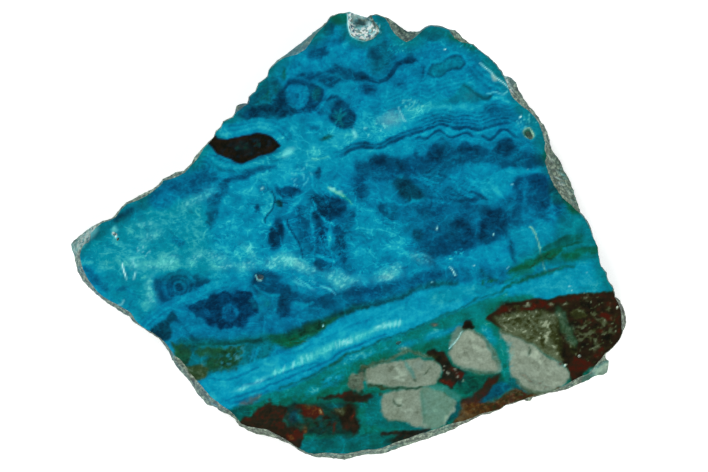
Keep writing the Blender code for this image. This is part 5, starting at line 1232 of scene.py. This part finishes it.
def roughen_rim(piece, sizes):
    """Nicks the rim level, also at its edges, and raises lumps on it between them."""
    points = read(piece.data.vertices, "co", 3)
    heights = points[:, 2]
    normals = read(piece.data.polygons, "normal", 3)
    rim = np.zeros(len(points), bool)
    for polygon in np.flatnonzero(np.abs(normals[:, 2]) < 0.999):
        rim[list(piece.data.polygons[polygon].vertices)] = True
    from_edge = np.minimum(heights, THICKNESS - heights) / (0.5 * MM)
    for name, weights in (("nicks", rim * 1.0), ("lumps", rim * np.clip(from_edge, 0.0, 1.0))):
        group = piece.vertex_groups.new(name=name)
        for index in np.flatnonzero(weights):
            group.add([int(index)], float(weights[index]), "REPLACE")
    nicks = lump_texture("nicks", "CLOUDS", sizes.nick_size)
    crust = lump_texture("crust", "CLOUDS", sizes.crust_size)
    pits = lump_texture("pits", "STUCCI", sizes.crust_size / 2)
    for direction in "XY":
        apply(
            piece,
            "DISPLACE",
            texture=nicks,
            direction=direction,
            strength=sizes.nick_depth,
            mid_level=0.5,
            vertex_group="nicks",
        )
    for texture, height in ((crust, sizes.crust_height), (pits, sizes.crust_height / 2)):
        apply(piece, "DISPLACE", texture=texture, strength=height, mid_level=0.5, vertex_group="lumps")
    piece.vertex_groups.clear()


def grid_block(pitch, level, reach):
    """A block a little larger than the slab, whose side at that height is a grid. It reaches from there up, or down."""
    margin = 2 * MM
    length, width = LENGTH + 2 * margin, WIDTH + 2 * margin
    bpy.ops.object.select_all(action="DESELECT")
    bpy.ops.mesh.primitive_grid_add(
        x_subdivisions=round(length / pitch),
        y_subdivisions=round(width / pitch),
        size=1.0,
        location=(0.0, 0.0, level),
    )
    block = bpy.context.active_object
    block.scale = (length, width, 1.0)
    bpy.ops.object.transform_apply(location=True, rotation=True, scale=True)
    bpy.context.tool_settings.mesh_select_mode = (False, True, False)
    ops = bpy.ops.mesh
    in_edit_mode(
        block,
        (ops.select_all, {"action": "DESELECT"}),
        (ops.select_non_manifold, {}),
        (ops.extrude_edges_move, {"TRANSFORM_OT_translate": {"value": (0.0, 0.0, reach)}}),
        (ops.edge_face_add, {}),
        (ops.select_all, {"action": "SELECT"}),
        (ops.normals_make_consistent, {"inside": False}),
    )
    return block


def grid_faces(piece, sizes):
    """Gives the back a grid of points, and the polished face a finer one, by keeping what the slab shares with blocks."""
    depth = sizes.polish_depth
    for pitch, level, reach in (
        (sizes.back_pitch, depth, 2 * THICKNESS),
        (sizes.face_pitch, THICKNESS - depth, -2 * THICKNESS),
    ):
        block = grid_block(pitch, level, reach)
        apply(piece, "BOOLEAN", operation="INTERSECT", object=block, solver="MANIFOLD")
        bpy.data.objects.remove(block)


def record_minerals(piece):
    """Stores on every point of the mesh what the stone is made of there."""
    points = read(piece.data.vertices, "co", 3) / MM
    face = painted(points[:, 0].astype(float), points[:, 1].astype(float))
    for mineral in MINERALS:
        attribute = piece.data.attributes.new(mineral, "FLOAT", "POINT")
        attribute.data.foreach_set("value", np.clip(getattr(face, mineral), 0.0, 1.0).astype(np.float32))


def assign_materials(piece, colours):
    """Polished stone on the face, crust round the rim and in the vugs, sawn stone on the back."""
    piece.data.materials.clear()
    for material in (polished_material(colours), rim_material(colours), back_material(colours)):
        piece.data.materials.append(material)
    normals = read(piece.data.polygons, "normal", 3)
    centres = read(piece.data.polygons, "center", 3)
    slots = np.ones(len(normals), np.int32)
    slots[(normals[:, 2] > 0.99) & (centres[:, 2] > THICKNESS - 0.1 * MM)] = 0
    slots[(normals[:, 2] < -0.99) & (centres[:, 2] < 0.1 * MM)] = 2
    piece.data.polygons.foreach_set("material_index", slots)


class ChrysocollaSlab(bpy.types.Operator):
    """Models the slab: polished face, broken rim and sawn back"""

    bl_idname = "chrysocolla.slab"
    bl_label = "Add slab"

    def execute(self, context):
        sizes, colours = settings()
        piece = slab_copy("chrysocolla_stone")
        refine_rim(piece)
        roughen_rim(piece, sizes)
        grid_faces(piece, sizes)
        record_minerals(piece)
        assign_materials(piece, colours)
        piece.data.shade_flat()
        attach(piece, BODY)
        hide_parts(NODE)
        return {"FINISHED"}


# The stage.

PHOTO_WIDTH_PX, PHOTO_HEIGHT_PX = 708, 472
SLAB_LENGTH_PX = 559
SLAB_MIDDLE_PX = (348.5, 236.0)


def add_table(sizes, colours):
    """A pale plane a hair above the slab's back, so that the back shows in a view from below. It glows a little, as
    painted light that lifts the shadows on it towards white.
    """
    bpy.ops.object.select_all(action="DESELECT")
    bpy.ops.mesh.primitive_plane_add(size=1.2, location=(0.0, 0.0, 1.5 * sizes.polish_depth))
    table = bpy.context.active_object
    table.name = "table"
    tree = Tree("table_top")
    mottle = tree.noise(0.02, 2.0)
    tree.put(tree.shader.inputs["Base Color"], colours.table[:] + (1.0,))
    tree.put(tree.shader.inputs["Roughness"], tree.math("ADD", tree.math("MULTIPLY", mottle, 0.1), 0.85))
    tree.shader.inputs["Specular IOR Level"].default_value = 0.1
    # Painted light: the table glows white, though it is no lamp, to pale its shadows and to light the rim from below.
    tree.shader.inputs["Emission Color"].default_value = (1.0, 1.0, 1.0, 1.0)
    tree.shader.inputs["Emission Strength"].default_value = 0.5
    table.data.materials.append(tree.material)


def add_light(name, place, size, power):
    light = bpy.data.lights.new(name, "AREA")
    light.size, light.energy = size, power
    lamp = bpy.data.objects.new(name, light)
    lamp.location = place
    direction = -lamp.location.normalized()
    lamp.rotation_euler = direction.to_track_quat("-Z", "Y").to_euler()
    bpy.context.scene.collection.objects.link(lamp)


def add_camera(sizes):
    """Looks straight down on the polished face, with the slab where the photograph has it."""
    camera = bpy.data.cameras.new("camera")
    view_width = LENGTH * PHOTO_WIDTH_PX / SLAB_LENGTH_PX
    camera.sensor_width = 36.0
    camera.lens = camera.sensor_width * sizes.camera_height / view_width
    camera.clip_start, camera.clip_end = 0.01, 10.0
    seen_from = bpy.data.objects.new("camera", camera)
    metres_per_px = LENGTH / SLAB_LENGTH_PX
    seen_from.location = (
        (PHOTO_WIDTH_PX / 2 - SLAB_MIDDLE_PX[0]) * metres_per_px,
        (SLAB_MIDDLE_PX[1] - PHOTO_HEIGHT_PX / 2) * metres_per_px,
        THICKNESS + sizes.camera_height,
    )
    bpy.context.scene.collection.objects.link(seen_from)
    bpy.context.scene.camera = seen_from


def add_sky():
    world = bpy.data.worlds.new("studio")
    bpy.context.scene.world = world
    world.use_nodes = True
    background = world.node_tree.nodes["Background"]
    background.inputs["Color"].default_value = (1.0, 1.0, 1.0, 1.0)
    background.inputs["Strength"].default_value = 0.12


class ChrysocollaStage(bpy.types.Operator):
    """Adds the pale table, the soft studio light and the camera"""

    bl_idname = "chrysocolla.stage"
    bl_label = "Add stage"

    def execute(self, context):
        sizes, colours = settings()
        add_table(sizes, colours)
        add_sky()
        add_light("key", (-0.5, 0.55, 0.6), 0.5, 6.2)
        add_light("fill", (0.65, -0.2, 0.5), 0.6, 4.0)
        add_light("front", (-0.1, -0.7, 0.5), 0.6, 4.0)
        add_camera(sizes)
        context.scene.view_settings.view_transform = "Standard"
        return {"FINISHED"}


class ChrysocollaPanel(bpy.types.Panel):
    """Lists the steps that build the slab and its stage, with their sizes and colours"""

    bl_idname = "VIEW3D_PT_chrysocolla"
    bl_label = "Chrysocolla Slab"
    bl_space_type = "VIEW_3D"
    bl_region_type = "UI"
    bl_category = "Chrysocolla"

    def draw(self, context):
        for operator in OPERATORS:
            self.layout.operator(operator.bl_idname)
        for group in settings():
            column = self.layout.column()
            for name in group.bl_rna.properties.keys():
                if name not in ("name", "rna_type"):
                    column.prop(group, name)


OPERATORS = (ChrysocollaSlab, ChrysocollaStage)
CLASSES = (ChrysocollaSizes, ChrysocollaColours, *OPERATORS, ChrysocollaPanel)


def register():
    for each in CLASSES:
        bpy.utils.register_class(each)
    bpy.types.Scene.chrysocolla_sizes = bpy.props.PointerProperty(type=ChrysocollaSizes)
    bpy.types.Scene.chrysocolla_colours = bpy.props.PointerProperty(type=ChrysocollaColours)


def unregister():
    del bpy.types.Scene.chrysocolla_colours
    del bpy.types.Scene.chrysocolla_sizes
    for each in reversed(CLASSES):
        bpy.utils.unregister_class(each)


def main():
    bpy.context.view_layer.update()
    register()
    bpy.ops.chrysocolla.slab()
    bpy.ops.chrysocolla.stage()
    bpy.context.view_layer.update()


if __name__ == "__main__":
    main()
